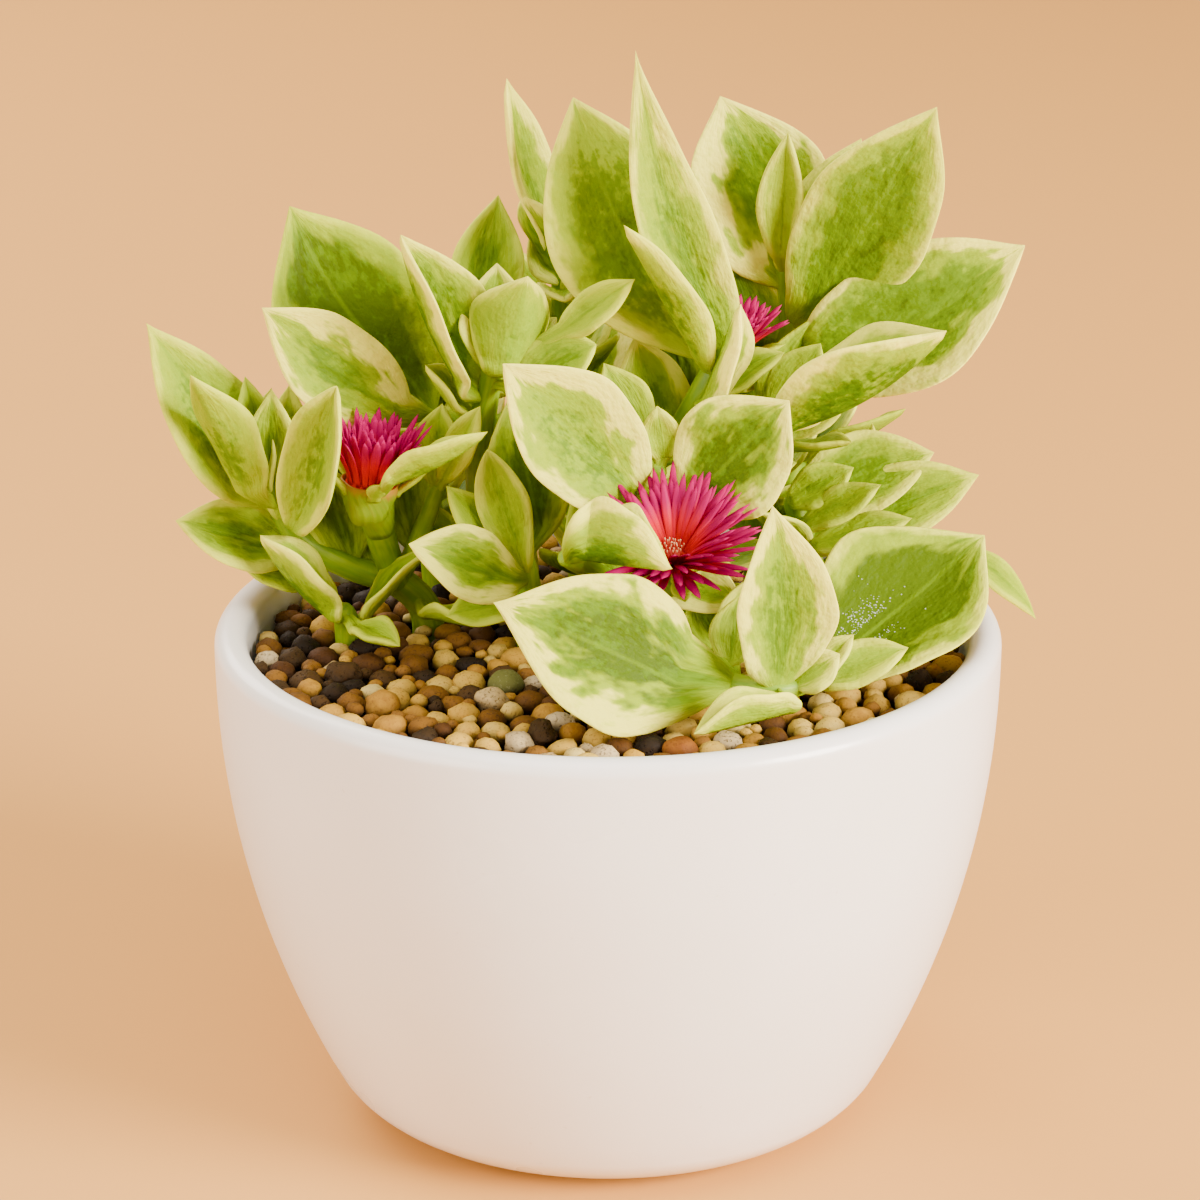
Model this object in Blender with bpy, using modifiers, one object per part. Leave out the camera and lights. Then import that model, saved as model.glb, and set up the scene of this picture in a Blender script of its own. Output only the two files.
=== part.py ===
"""Potted baby sunrose: a variegated trailing succulent with magenta blooms in a white bowl pot of grit.

Run in Blender 4.5. Units are metres, +Z is up, the pot's foot stands at the origin and the plant faces -Y.
The tables of the plant are in millimetres, as a maker would measure them on the real plant.
"""

import math
import random

import bmesh
import bpy
from mathutils import Vector

MM = 0.001
TIGHT_GAP = 0.3

POT_RADIUS = 45.0
POT_HEIGHT = 58.7
LIP_RADIUS = 1.85
WALL = 2 * LIP_RADIUS
SHOULDER_HEIGHT = POT_HEIGHT - LIP_RADIUS
FOOT_RADIUS = 20.0
FOOT_ROUND_HEIGHT = 6.0
FLOOR_HEIGHT = 5.0
FLOOR_CORNER = 6.0
BELLY_TAPER = 0.345
BELLY_POWER = 2.13
POT_STEPS = 36

BED_LEVEL = 54.2
BED_CELLS = 22
GRIT_RISE = 0.75
GRIT_SPREAD = (0.55, 1.0)
GRIT_WANDER = 0.3
BED_WALL_GAP = 2 * TIGHT_GAP
BED_WALL_HEIGHTS = (30.0, 12.0)

STEM_SOCKET_GAP = 0.6
STEM_HOLE_SIDES = 8
STONE_SOCKET_GAP = 0.45
STEM_FOOT_HEIGHT = 49.0

LEAF_THICKNESS = 1.1
PETIOLE_HALF_WIDTH = 0.85
BLADE_ROWS = (0.0, 0.13, 0.32, 0.54, 0.76, 0.9, 1.0)
SMALL_BLADE_ROWS = (0.0, 0.18, 0.48, 0.8, 1.0)
SMALL_BLADE_LENGTH = 16.0
BROAD_LEAF_WIDTH = 13.0

# A petal's rows: the share of its length, and half its width there.
PETAL_ROWS = ((0.0, 0.38), (0.62, 0.55), (1.0, 0.2))
PETAL_ROOT_RADIUS = 1.9
PETAL_THICKNESS = 0.6
BLOOM_DISC_RADIUS = 2.5
BLOOM_DISC_HEIGHT = 1.0
BLOOM_DISC_EDGE = 0.3

LOBE_COUNT = 5
LOBE_ROWS = (0.0, 0.4, 1.0)
LOBE_LENGTH = 5.6
LOBE_WIDTH = 2.6
LOBE_THICKNESS = 0.8

BUTTON_RADIUS = 1.2
BUTTON_HEIGHT = 0.8
FILAMENT_COUNT = 5
FILAMENT_LENGTH = 1.9
FILAMENT_RADII = (0.34, 0.22)
FILAMENT_SPREAD = 0.36
GOLDEN_TURN = 2.4

COLLECTION = "potted_baby_sunrose"

# A stem is a list of points of its middle line, each x, y, z and its radius there.
# A leaf is: base, tip, the way its upper side faces, width, cup in degrees, then what bends it.


def leaf(base, tip, face, wide, cup=15.0, arch=0.0, sway=0.0, peak=0.5):
    """One leaf by hand: cup lifts its halves, arch bows the midrib back, sway bends it sideways."""
    return {"base": Vector(base), "tip": Vector(tip), "face": Vector(face), "wide": wide,
            "cup": math.radians(cup), "arch": arch, "sway": sway, "peak": peak}


LEFT_STEMS = [
    [(-21, 10, STEM_FOOT_HEIGHT, 1.9), (-21.3, 9.9, 56, 1.9), (-24.5, 9, 60, 1.8),
     (-30, 8.5, 62, 1.5), (-35.5, 8, 65.5, 1.5), (-38, 7, 70, 1.3)],
    [(-24.3, 9, 59.5, 1.6), (-26, 6, 66, 1.7), (-26.8, 2, 72.4, 2.1)],
    [(-24.3, 9, 60, 1.1), (-21.5, 7, 67, 1.1), (-19.5, 5, 73, 1.0)],
]
LEFT_LEAVES = [
    leaf((-39.5, 7, 70), (-52, 3, 93), (0.35, -0.85, 0.4), 12, cup=18, peak=0.42),
    leaf((-39, 9, 69), (-49.5, 8.5, 82), (0.3, -0.8, 0.5), 8, cup=20),
    leaf((-40, 2.5, 71), (-46.5, -4, 89), (0.35, 0.8, 0.45), 8.5, cup=30),
    leaf((-39.4, 6, 70.4), (-38.3, 6, 84.5), (-0.5, -0.8, 0.3), 6.5, cup=45),
    leaf((-37, 9, 68), (-37, 12, 82), (0.2, -0.95, 0.2), 8, cup=25),
    leaf((-36.8, 3.2, 66.9), (-30.8, -7.5, 88.8), (-0.55, -0.8, 0.1), 9, cup=40),
    leaf((-36, 8, 63.5), (-49.5, 3, 69.5), (0.1, -0.75, 0.65), 9.5, cup=20),
    leaf((-36, 10, 66), (-43, 19, 80), (0.3, -0.5, 0.8), 9, cup=25),
    leaf((-26.6, -3.8, 71.5), (-13.3, -8.8, 84), (0.0, 0.2, 0.97), 7, cup=50),
    leaf((-19.8, 4.5, 73), (-18.9, 6, 82.6), (-0.3, -0.9, 0.3), 6.5, cup=25),
    leaf((-19, 4, 73.5), (-14.4, 0.5, 84), (-0.1, -0.85, 0.5), 4.5, cup=20),
    leaf((-22, 5.5, 57.3), (-14.6, 0, 57.8), (0.1, 0.2, 0.97), 5.5, cup=40),
]

LOW_LEFT_STEMS = [
    [(-30, 4.5, STEM_FOOT_HEIGHT, 1.5), (-30.1, 4, 56, 1.5), (-30.4, 2.5, 58.5, 1.3)],
]
LOW_LEFT_LEAVES = [
    leaf((-30.5, 2.3, 57), (-39.4, 0, 68.6), (0.75, 0.1, 0.65), 9, cup=45, arch=0.05),
    leaf((-29.5, 1, 57.2), (-23.6, -5.5, 57.3), (0.0, -0.3, 0.95), 5, cup=35),
]

UPPER_LEFT_STEMS = [
    [(-14.5, 14, STEM_FOOT_HEIGHT, 1.9), (-14.5, 13, 57, 1.9), (-14.8, 10, 69.7, 1.7),
     (-14.5, 6.5, 79, 1.6), (-13, 4.3, 87.5, 1.2)],
    [(-14.7, 8, 76, 1.3), (-16.5, 9.5, 78.5, 1.2), (-20, 10, 80, 1.0)],
]
UPPER_LEFT_LEAVES = [
    leaf((-19.5, 11, 81), (-36.2, 12, 104.2), (0.1, -0.92, 0.35), 18, cup=12, sway=-0.07),
    leaf((-22.5, 11.5, 77.8), (-39, 4.8, 94.1), (-0.35, -0.65, 0.65), 10.5, cup=15),
    leaf((-15, 4.5, 83), (-23, -1, 104.3), (0.8, -0.55, 0.2), 14, cup=55, arch=0.06),
    leaf((-16, 8.5, 87), (-12.5, 14, 105), (0.25, -0.9, 0.3), 9, cup=20),
    leaf((-12.2, 1.5, 86), (-8.9, -1.5, 99.7), (-0.15, 0.9, 0.4), 11, cup=35),
    leaf((-12.9, 4.5, 86.5), (-12.5, 5.5, 99.3), (0.05, -0.9, 0.4), 10, cup=35),
    leaf((-11.5, 2, 84.5), (-1.3, -1.5, 91.8), (-0.15, -0.75, 0.65), 9, cup=18, peak=0.58),
    leaf((-8, 1.5, 89.7), (3, -2, 99.5), (-0.3, -0.85, 0.45), 8, cup=15),
]

LEFT_CENTRE_STEMS = [
    [(-9, 4, STEM_FOOT_HEIGHT, 1.6), (-9, 3, 56, 1.6), (-9, 1, 62, 1.4), (-9.8, 0.5, 67, 1.1)],
]
LEFT_CENTRE_LEAVES = [
    leaf((-9.3, -1.5, 63), (-22.3, -9, 70.8), (0.05, -0.8, 0.6), 9, cup=15),
    leaf((-11, 0.5, 65), (-18.3, -1, 75), (0.2, -0.75, 0.6), 5.5, cup=15),
    leaf((-9, 0, 63), (-13.6, -1.5, 79.5), (-0.1, -0.95, 0.15), 6.5, cup=20, peak=0.62),
    leaf((-10, 1.5, 60), (-18.5, -1.5, 59.5), (0.0, -0.6, 0.8), 5.5),
]

CENTRE_STEMS = [
    [(3, 7, STEM_FOOT_HEIGHT, 1.9), (3, 6, 58, 1.9), (3.5, 3, 66, 1.7), (4.7, -0.5, 73, 1.4),
     (5.6, -1.3, 77, 1.1)],
    [(3.2, 4.5, 61, 1.4), (5.5, -3.3, 64.2, 1.4), (7, -7.4, 66.1, 1.7)],
    [(3.1, 5, 60, 1.2), (-2, -4, 66, 1.2), (-4.6, -15.5, 71.4, 1.0)],
]
CENTRE_LEAVES = [
    leaf((4.5, -3, 73), (-11.6, -9, 91.8), (-0.05, -0.85, 0.5), 14.5, cup=20, arch=0.03),
    leaf((-4.6, -17.3, 72.4), (7, -24, 73.1), (0.1, 0.25, 0.96), 14, cup=68, peak=0.38),
    leaf((8.5, -2.8, 72.7), (20.2, -4.9, 86.3), (0.0, -0.85, 0.5), 14.5, cup=12),
    leaf((4.5, 1, 79), (-0.5, 2, 88.6), (0.1, -0.9, 0.35), 6.5),
    leaf((6.3, -0.5, 77.5), (5.5, -2, 84.8), (0.0, -0.9, 0.35), 5, cup=20),
    leaf((4.5, -1, 64), (15.3, -9, 63.3), (0.0, -0.6, 0.8), 7.5),
    leaf((2, 5, 62), (-7, 8, 71), (0.2, -0.7, 0.7), 8),
]

TOP_STEMS = [
    [(10, 15, STEM_FOOT_HEIGHT, 1.9), (9, 14, 57, 1.9), (6.5, 11, 66, 1.8), (6.8, 7, 75, 1.7),
     (10.4, 4.5, 83.6, 1.6), (13.3, 4.6, 89.5, 1.3)],
    [(10.2, 5, 81, 1.2), (13, 10, 82.5, 1.2), (14, 11.3, 85, 1.4)],
]
TOP_LEAVES = [
    leaf((10.8, 4.6, 88.5), (-3.9, 6, 118.2), (-0.1, -0.95, 0.3), 17.5, cup=12, sway=-0.05, peak=0.52),
    leaf((13.5, 4, 89.8), (3, 0, 124.9), (0.2, -0.95, 0.1), 9.8, cup=25, sway=-0.05, peak=0.36),
    leaf((11.7, 2, 87), (1.7, -7, 107), (0.55, 0.5, 0.6), 9.5, cup=30),
    leaf((10.2, 2.3, 82), (14.8, -0.8, 96.3), (0.85, -0.35, 0.3), 8, cup=45),
    leaf((7, 7.5, 76), (3, 6.5, 90.5), (0.1, -0.9, 0.3), 9),
]

TOP_RIGHT_STEMS = [
    [(18, 19, STEM_FOOT_HEIGHT, 1.9), (18, 18.5, 60, 1.9), (18.5, 17.5, 72, 1.8), (20, 17.5, 82, 1.6),
     (21, 17.5, 89, 1.4), (20.5, 17.5, 95, 1.1)],
    [(18.8, 17, 73, 1.3), (18, 9, 77.5, 1.2), (17.5, 3, 80, 1.0)],
]
TOP_RIGHT_LEAVES = [
    leaf((19.5, 18, 92.5), (12.8, 19.5, 115.2), (0.05, -0.95, 0.3), 17, sway=0.06),
    leaf((20, 16, 95.5), (20.4, 13.5, 112.5), (-0.3, -0.9, 0.2), 6.5, cup=35),
    leaf((22, 16, 88), (36.8, 8.5, 116.5), (0.1, -0.93, 0.35), 15.5, cup=12),
    leaf((20, 18, 92), (29, 18, 110.6), (0.1, -0.9, 0.4), 9),
    leaf((20.5, 12.5, 84.5), (47.4, 10.5, 100), (-0.15, -0.8, 0.6), 18, cup=20, sway=0.08),
    leaf((17.5, 2.5, 80), (37.5, -5, 94.4), (-0.3, 0.1, 0.95), 16, cup=55, arch=0.08),
    leaf((18, 8, 79), (28.8, 8, 85.5), (0.0, -0.6, 0.8), 7),
]

RIGHT_STEMS = [
    [(25, 12, STEM_FOOT_HEIGHT, 1.7), (24.5, 11, 57, 1.7), (23, 10, 64, 1.5), (21.5, 10, 69.5, 1.2)],
    [(24, 11, 59.5, 1.2), (31, 14.5, 63.5, 1.1), (37.5, 16.5, 63, 0.9)],
]
RIGHT_LEAVES = [
    leaf((21, 12, 69), (37.9, 13, 74.5), (0.0, -0.8, 0.6), 10.5),
    leaf((20.5, 9, 69.5), (26.8, 8, 74.5), (0.0, -0.8, 0.6), 6.5),
    leaf((22, 7.5, 67), (30, 5, 73.4), (0.0, -0.6, 0.8), 5.5, cup=30),
    leaf((23.5, 10, 65), (43, 11, 72.4), (0.0, -0.8, 0.6), 10),
    leaf((22.5, 6.5, 66), (34.1, 4, 70.3), (0.0, -0.5, 0.85), 6, cup=30),
    leaf((37.5, 16, 62.5), (50.2, 11, 54.6), (0.3, -0.3, 0.9), 5.5, arch=-0.09),
]

FRONT_STEMS = [
    [(13.5, -8, STEM_FOOT_HEIGHT, 1.6), (13.4, -8.4, 56, 1.6), (12, -13.5, 58, 1.5),
     (14, -18.4, 57.6, 1.4), (18.5, -20, 57.5, 1.3), (22.5, -17.5, 57.6, 1.1)],
]
FRONT_LEAVES = [
    leaf((11.5, -21, 57.6), (-12.2, -27.5, 70.4), (0.1, -0.82, 0.56), 17, cup=8, arch=-0.04, peak=0.55),
    leaf((18.5, -20, 57.5), (17.8, -22, 79.5), (0.25, -0.93, 0.25), 12.5, cup=25, sway=0.03),
    leaf((21.5, -26, 58), (9.7, -33, 57.4), (0.0, 0.3, 0.95), 7, cup=55),
    leaf((20.5, -19, 57.5), (25.5, -20.5, 62), (-0.2, -0.85, 0.5), 5.5, cup=20),
    leaf((22.5, -17.5, 57.5), (27.2, -17, 63), (-0.6, -0.75, 0.2), 4, cup=30),
    leaf((22.5, -18, 57.3), (33.2, -18, 61.8), (0.0, -0.7, 0.7), 6, cup=25),
    leaf((23, -15, 57.3), (42.6, -3, 69.8), (-0.35, -0.75, 0.55), 20, cup=20, arch=0.05),
]

BACK_MIDDLE_STEMS = [
    [(-3, 25, STEM_FOOT_HEIGHT, 1.8), (-3, 24, 62, 1.8), (-4, 20, 76, 1.6), (-5, 17, 88, 1.4),
     (-5.5, 15.5, 96, 1.1)],
]
BACK_MIDDLE_LEAVES = [
    leaf((-5.3, 15, 97), (-11, 12, 119), (0.8, -0.55, 0.2), 8, cup=30, sway=-0.04),
    leaf((-5, 15.5, 94), (-9, 15.5, 100), (0.1, -0.85, 0.5), 5.5),
    leaf((-5, 15, 92), (0, 12.5, 98.5), (-0.1, -0.85, 0.5), 6),
]

# The far side of the plant, which the photo doesn't show: pairs of leaves along a stem, by a rule.
BACK_LEFT_STEMS = [
    [(-20, 24, STEM_FOOT_HEIGHT, 1.8), (-21, 25, 60, 1.8), (-23, 26, 72, 1.5), (-24.5, 25, 82, 1.1)],
]
BACK_RIGHT_STEMS = [
    [(20, 28, STEM_FOOT_HEIGHT, 1.8), (21, 29, 60, 1.8), (23, 29, 72, 1.5), (25, 27, 83, 1.1)],
]
BACK_PAIR_STEPS = (0.42, 0.68, 0.95)


def route_point(route, share):
    """A point of a stem's middle line, share running from its foot to its end."""
    place = share * (len(route) - 1)
    step = min(int(place), len(route) - 2)
    start, end = Vector(route[step][:3]), Vector(route[step + 1][:3])
    return start.lerp(end, place - step)


def back_pairs(route, seed, first_turn, length=19.0, wide=11.0):
    """Opposite leaves at a few steps of a stem, each pair a quarter turn on, shorter towards the end."""
    draw = random.Random(seed)
    leaves = []
    for number, share in enumerate(BACK_PAIR_STEPS):
        root = route_point(route, share)
        for side in (0.0, math.pi):
            turn = first_turn + number * math.pi / 2 + side + draw.uniform(-0.2, 0.2)
            rise = math.radians(draw.uniform(38, 52) + 8 * number)
            out = Vector((math.cos(turn), math.sin(turn), 0.0))
            along = out * math.cos(rise) + Vector((0, 0, math.sin(rise)))
            face = Vector((0, 0, math.cos(rise))) - out * math.sin(rise)
            size = (1.0 - 0.12 * number) * draw.uniform(0.9, 1.08)
            tip = root + along * length * size
            leaves.append(leaf(root + along * 1.5, tip, face, wide * size, cup=draw.uniform(12, 26)))
    return leaves


BLOOMS = {
    "left": {"centre": (-26.9, 0.8, 75.2), "axis": (0.12, -0.05, 0.99), "petals": 12, "length": 8.0,
             "rises": (61, 76), "lobe_rise": 26},
    "front": {"centre": (7.3, -10.5, 69.5), "axis": (0.0, -0.57, 0.82), "petals": 17, "length": 8.2,
              "rises": (30, 46), "lobe_rise": -8},
    "top": {"centre": (14, 12, 87.9), "axis": (0.12, -0.05, 0.99), "petals": 10, "length": 6.3,
            "rises": (53, 70), "lobe_rise": 16},
}

STONES = {
    "pumice_stone": {"place": (-12.9, -16), "radius": 2.1, "squash": 0.85, "material": "pale_pumice"},
    "green_stone": {"place": (-11.5, -11), "radius": 2.2, "squash": 0.75, "material": "green_grey_stone"},
    "lava_stone_left": {"place": (-30, -7.5), "radius": 1.9, "squash": 0.8, "material": "dark_lava"},
    "lava_stone_front": {"place": (-7.2, -26), "radius": 1.8, "squash": 0.8, "material": "dark_lava"},
    "tan_stone_left": {"place": (-25, -17.5), "radius": 2.2, "squash": 0.8, "material": "tan_akadama"},
    "tan_stone_front": {"place": (-2.4, -36), "radius": 2.0, "squash": 0.85, "material": "tan_akadama"},
    "tan_stone_right": {"place": (34, -17), "radius": 2.1, "squash": 0.8, "material": "tan_akadama"},
    "orange_stone": {"place": (7.8, -30.5), "radius": 1.9, "squash": 0.75, "material": "orange_akadama"},
}

MATERIALS = {
    "white_glaze": ((0.86, 0.85, 0.83), 0.22),
    "mixed_grit": ((0.36, 0.22, 0.09), 0.95),
    "pale_pumice": ((0.52, 0.47, 0.40), 0.95),
    "green_grey_stone": ((0.22, 0.24, 0.12), 0.9),
    "dark_lava": ((0.07, 0.045, 0.03), 0.95),
    "tan_akadama": ((0.55, 0.36, 0.15), 0.9),
    "orange_akadama": ((0.55, 0.22, 0.05), 0.9),
    "variegated_leaf": ((0.42, 0.55, 0.10), 0.42),
    "magenta_petal": ((0.80, 0.01, 0.24), 0.45),
    "cream_stamen": ((0.85, 0.45, 0.30), 0.6),
}


def clear_scene():
    """Take away what the start file holds."""
    for item in list(bpy.data.objects):
        bpy.data.objects.remove(item, do_unlink=True)


def part_collection(name):
    """A collection linked into the scene."""
    collection = bpy.data.collections.new(name)
    bpy.context.scene.collection.children.link(collection)
    return collection


def make_materials():
    """One plain material for each finish of the part."""
    made = {}
    for name, (colour, roughness) in MATERIALS.items():
        material = bpy.data.materials.new(name)
        material.use_nodes = True
        shader = material.node_tree.nodes["Principled BSDF"]
        shader.inputs["Base Color"].default_value = (*colour, 1.0)
        shader.inputs["Roughness"].default_value = roughness
        shader.inputs["Metallic"].default_value = 0.0
        made[name] = material
    return made


def mesh_object(name, bm, collection):
    """An object from a bmesh in millimetres, placed in metres."""
    bmesh.ops.scale(bm, vec=(MM, MM, MM), verts=bm.verts)
    mesh = bpy.data.meshes.new(name)
    bm.to_mesh(mesh)
    bm.free()
    item = bpy.data.objects.new(name, mesh)
    collection.objects.link(item)
    return item


def bake(item):
    """Replace an object's mesh by what its modifiers make of it."""
    bpy.context.view_layer.update()
    graph = bpy.context.evaluated_depsgraph_get()
    mesh = bpy.data.meshes.new_from_object(item.evaluated_get(graph))
    item.modifiers.clear()
    item.data = mesh
    return item


def wall_radius(height):
    """The pot's outer radius at a height, from the shape of its belly."""
    return POT_RADIUS * (1 - BELLY_TAPER * (1 - height / SHOULDER_HEIGHT) ** BELLY_POWER)


def inner_radius(height):
    """The radius of the pot's inside at a height."""
    return wall_radius(height) - WALL


def pot_profile():
    """The pot's half section in millimetres: up its inner side, over the lip and down its outer side."""
    points = [(0.0, FLOOR_HEIGHT), (inner_radius(FLOOR_HEIGHT) - FLOOR_CORNER, FLOOR_HEIGHT)]
    points += [(inner_radius(height), height) for height in (9, 18, 30, 43, SHOULDER_HEIGHT)]
    lip_middle = POT_RADIUS - LIP_RADIUS
    for step in range(1, 6):
        turn = math.pi - step * math.pi / 6
        points.append((lip_middle + LIP_RADIUS * math.cos(turn), SHOULDER_HEIGHT + LIP_RADIUS * math.sin(turn)))
    points += [(wall_radius(height), height) for height in (SHOULDER_HEIGHT, 46, 34, 23, 13)]
    side = wall_radius(FOOT_ROUND_HEIGHT)
    for step in range(4):
        turn = step * math.pi / 6
        reach = FOOT_RADIUS + (side - FOOT_RADIUS) * math.cos(turn)
        points.append((reach, FOOT_ROUND_HEIGHT * (1 - math.sin(turn))))
    points.append((0.0, 0.0))
    return points


def turn_profile(name, points, steps, collection):
    """A turned solid: a half section on +X, swept round Z."""
    bm = bmesh.new()
    line = [bm.verts.new((x, 0.0, z)) for x, z in points]
    for start, end in zip(line, line[1:]):
        bm.edges.new((start, end))
    item = mesh_object(name, bm, collection)
    screw = item.modifiers.new("Turn", "SCREW")
    screw.steps = steps
    screw.render_steps = steps
    screw.use_merge_vertices = True
    screw.merge_threshold = 0.00001
    screw.use_smooth_shade = False
    return item


def make_pot(collection, materials):
    """The white bowl pot."""
    pot = bake(turn_profile("pot", pot_profile(), POT_STEPS, collection))
    pot.data.materials.append(materials["white_glaze"])
    return pot


def square_to_disc(x, y):
    """A point of the square from -1 to 1, moved into the round bed so that the cells stay even."""
    if abs(x) < 1e-9 and abs(y) < 1e-9:
        return 0.0, 0.0
    if abs(x) > abs(y):
        turn = math.pi / 4 * y / x
        return x * math.cos(turn), x * math.sin(turn)
    turn = math.pi / 4 * x / y
    return y * math.sin(turn), y * math.cos(turn)


def grit_bed_mesh():
    """The bed in millimetres: a disc of small domes, one to every second cell, on a plain lathe-shaped fill."""
    draw = random.Random(11)
    bm = bmesh.new()
    bmesh.ops.create_grid(bm, x_segments=BED_CELLS, y_segments=BED_CELLS, size=1.0)
    top_radius = inner_radius(BED_LEVEL) - BED_WALL_GAP
    cell = 2.0 / BED_CELLS
    for vert in sorted(bm.verts, key=lambda v: (round(v.co.y, 4), round(v.co.x, 4))):
        column, row = round((vert.co.x + 1) / cell), round((vert.co.y + 1) / cell)
        at_rim = column in (0, BED_CELLS) or row in (0, BED_CELLS)
        shift = Vector((draw.uniform(-1, 1), draw.uniform(-1, 1), 0)) * GRIT_WANDER * cell
        rise = draw.uniform(*GRIT_SPREAD) * (1 if (column + row) % 2 == 0 else -1)
        if not at_rim:
            vert.co += shift
        x, y = square_to_disc(vert.co.x, vert.co.y)
        height = BED_LEVEL if at_rim else BED_LEVEL + GRIT_RISE * rise
        vert.co = (x * top_radius, y * top_radius, height)
    bmesh.ops.triangulate(bm, faces=bm.faces)
    rim = [edge for edge in bm.edges if edge.is_boundary]
    radius = top_radius
    for height in (*BED_WALL_HEIGHTS, FLOOR_HEIGHT + TIGHT_GAP):
        inset = FLOOR_CORNER + 1.0 if height < BED_WALL_HEIGHTS[-1] else BED_WALL_GAP
        target = inner_radius(height) - inset
        made = bmesh.ops.extrude_edge_only(bm, edges=rim)["geom"]
        for vert in (part for part in made if isinstance(part, bmesh.types.BMVert)):
            vert.co = (vert.co.x * target / radius, vert.co.y * target / radius, height)
        rim = [part for part in made if isinstance(part, bmesh.types.BMEdge) and part.is_boundary]
        radius = target
    bmesh.ops.edgeloop_fill(bm, edges=rim)
    bmesh.ops.recalc_face_normals(bm, faces=bm.faces)
    return bm


def stone_object(name, spec, grown, collection):
    """A rounded stone, half sunk in the bed; grown makes it larger all round, for its socket."""
    draw = random.Random(name)
    bm = bmesh.new()
    bmesh.ops.create_icosphere(bm, subdivisions=1, radius=1.0)
    for vert in bm.verts:
        vert.co *= draw.uniform(0.93, 1.07)
    radius = spec["radius"]
    x, y = spec["place"]
    for vert in bm.verts:
        out = vert.co.copy()
        vert.co = Vector((out.x * radius, out.y * radius * 0.9, out.z * radius * spec["squash"]))
        vert.co += out.normalized() * grown
        vert.co += Vector((x, y, BED_LEVEL + 0.2 * radius))
    return mesh_object(name, bm, collection)


def cutter_collection():
    """A collection for the solids that only cut."""
    return part_collection("cutters")


def hide_cutter(item):
    """A cutter is drawn as wire and never rendered."""
    item.hide_render = True
    item.display_type = "WIRE"


def foot_cutter(number, stem, cutters):
    """The plain hole that a stem's foot stands in."""
    foot, above = Vector(stem[0][:3]), Vector(stem[1][:3])
    line = (above - foot).normalized() * (BED_LEVEL + 2 - foot.z)
    start = foot - line.normalized() * STEM_SOCKET_GAP
    end = foot + line
    bm = bmesh.new()
    radius = stem[0][3] + STEM_SOCKET_GAP
    bmesh.ops.create_cone(bm, cap_ends=True, segments=STEM_HOLE_SIDES, radius1=radius,
                          radius2=radius + TIGHT_GAP, depth=(end - start).length)
    turn = Vector((0, 0, 1)).rotation_difference(line)
    bmesh.ops.rotate(bm, cent=(0, 0, 0), matrix=turn.to_matrix(), verts=bm.verts)
    bmesh.ops.translate(bm, vec=(start + end) / 2, verts=bm.verts)
    cutter = mesh_object(f"stem_hole_{number}", bm, cutters)
    hide_cutter(cutter)


def make_bed(collection, cutters, materials, shoots):
    """The grit that fills the pot, with a plain hole for each stem's foot and a socket for each stone."""
    bed = mesh_object("grit_bed", grit_bed_mesh(), collection)
    for number, shoot in enumerate(shoots.values()):
        foot_cutter(number, shoot["stems"][0], cutters)
    for name, spec in STONES.items():
        hide_cutter(stone_object(name, spec, STONE_SOCKET_GAP, cutters))
    bed.data.materials.append(materials["mixed_grit"])
    cut = bed.modifiers.new("Holes", "BOOLEAN")
    cut.operation = "DIFFERENCE"
    cut.operand_type = "COLLECTION"
    cut.collection = cutters
    cut.solver = "EXACT"
    bake(bed)
    for cutter in list(cutters.objects):
        bpy.data.objects.remove(cutter, do_unlink=True)
    return bed


def make_stones(collection, materials):
    """The single stones that stand out of the bed."""
    for name, spec in STONES.items():
        stone = stone_object(name, spec, 0.0, collection)
        stone.data.materials.append(materials[spec["material"]])


def smooth_route(points, between=2):
    """Points of a smooth curve through a stem's own points, radius included."""
    rows = [Vector(point) for point in points]
    rows = [rows[0] * 2 - rows[1]] + rows + [rows[-1] * 2 - rows[-2]]
    route = []
    for a, b, c, d in zip(rows, rows[1:], rows[2:], rows[3:]):
        for step in range(between):
            t = step / between
            route.append(0.5 * (2 * b + (c - a) * t + (2 * a - 5 * b + 4 * c - d) * t ** 2
                                + (3 * b - a - 3 * c + d) * t ** 3))
    route.append(rows[-2])
    return route


def stem_object(name, points, collection):
    """A stem as a curve with a round section and filled ends, made a mesh."""
    route = smooth_route(points, between=2 if len(points) > 3 else 1)
    curve = bpy.data.curves.new(name, "CURVE")
    curve.dimensions = "3D"
    curve.bevel_depth = MM
    curve.bevel_resolution = 1
    curve.use_fill_caps = True
    spline = curve.splines.new("POLY")
    spline.points.add(len(route) - 1)
    for knot, point in zip(spline.points, route):
        knot.co = (point[0] * MM, point[1] * MM, point[2] * MM, 1.0)
        knot.radius = point[3]
    line = bpy.data.objects.new(f"{name}_line", curve)
    collection.objects.link(line)
    bpy.context.view_layer.update()
    graph = bpy.context.evaluated_depsgraph_get()
    mesh = bpy.data.meshes.new_from_object(line.evaluated_get(graph))
    stem = bpy.data.objects.new(name, mesh)
    stem.matrix_world = line.matrix_world.copy()
    collection.objects.link(stem)
    bpy.data.objects.remove(line, do_unlink=True)
    bm = bmesh.new()
    bm.from_mesh(mesh)
    bmesh.ops.remove_doubles(bm, verts=bm.verts, dist=0.000001)
    bmesh.ops.recalc_face_normals(bm, faces=bm.faces)
    bm.to_mesh(mesh)
    bm.free()
    return stem


def nearest_on_stems(place, stems):
    """The nearest point of any stem's middle line: where a leaf grows from."""
    best = None
    for stem in stems:
        route = smooth_route(stem)
        for start, end in zip(route, route[1:]):
            start, end = Vector(start[:3]), Vector(end[:3])
            line = end - start
            share = min(max((place - start).dot(line) / line.length_squared, 0.0), 0.95)
            point = start + line * share
            if best is None or (point - place).length < (best - place).length:
                best = point
    return best


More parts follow.
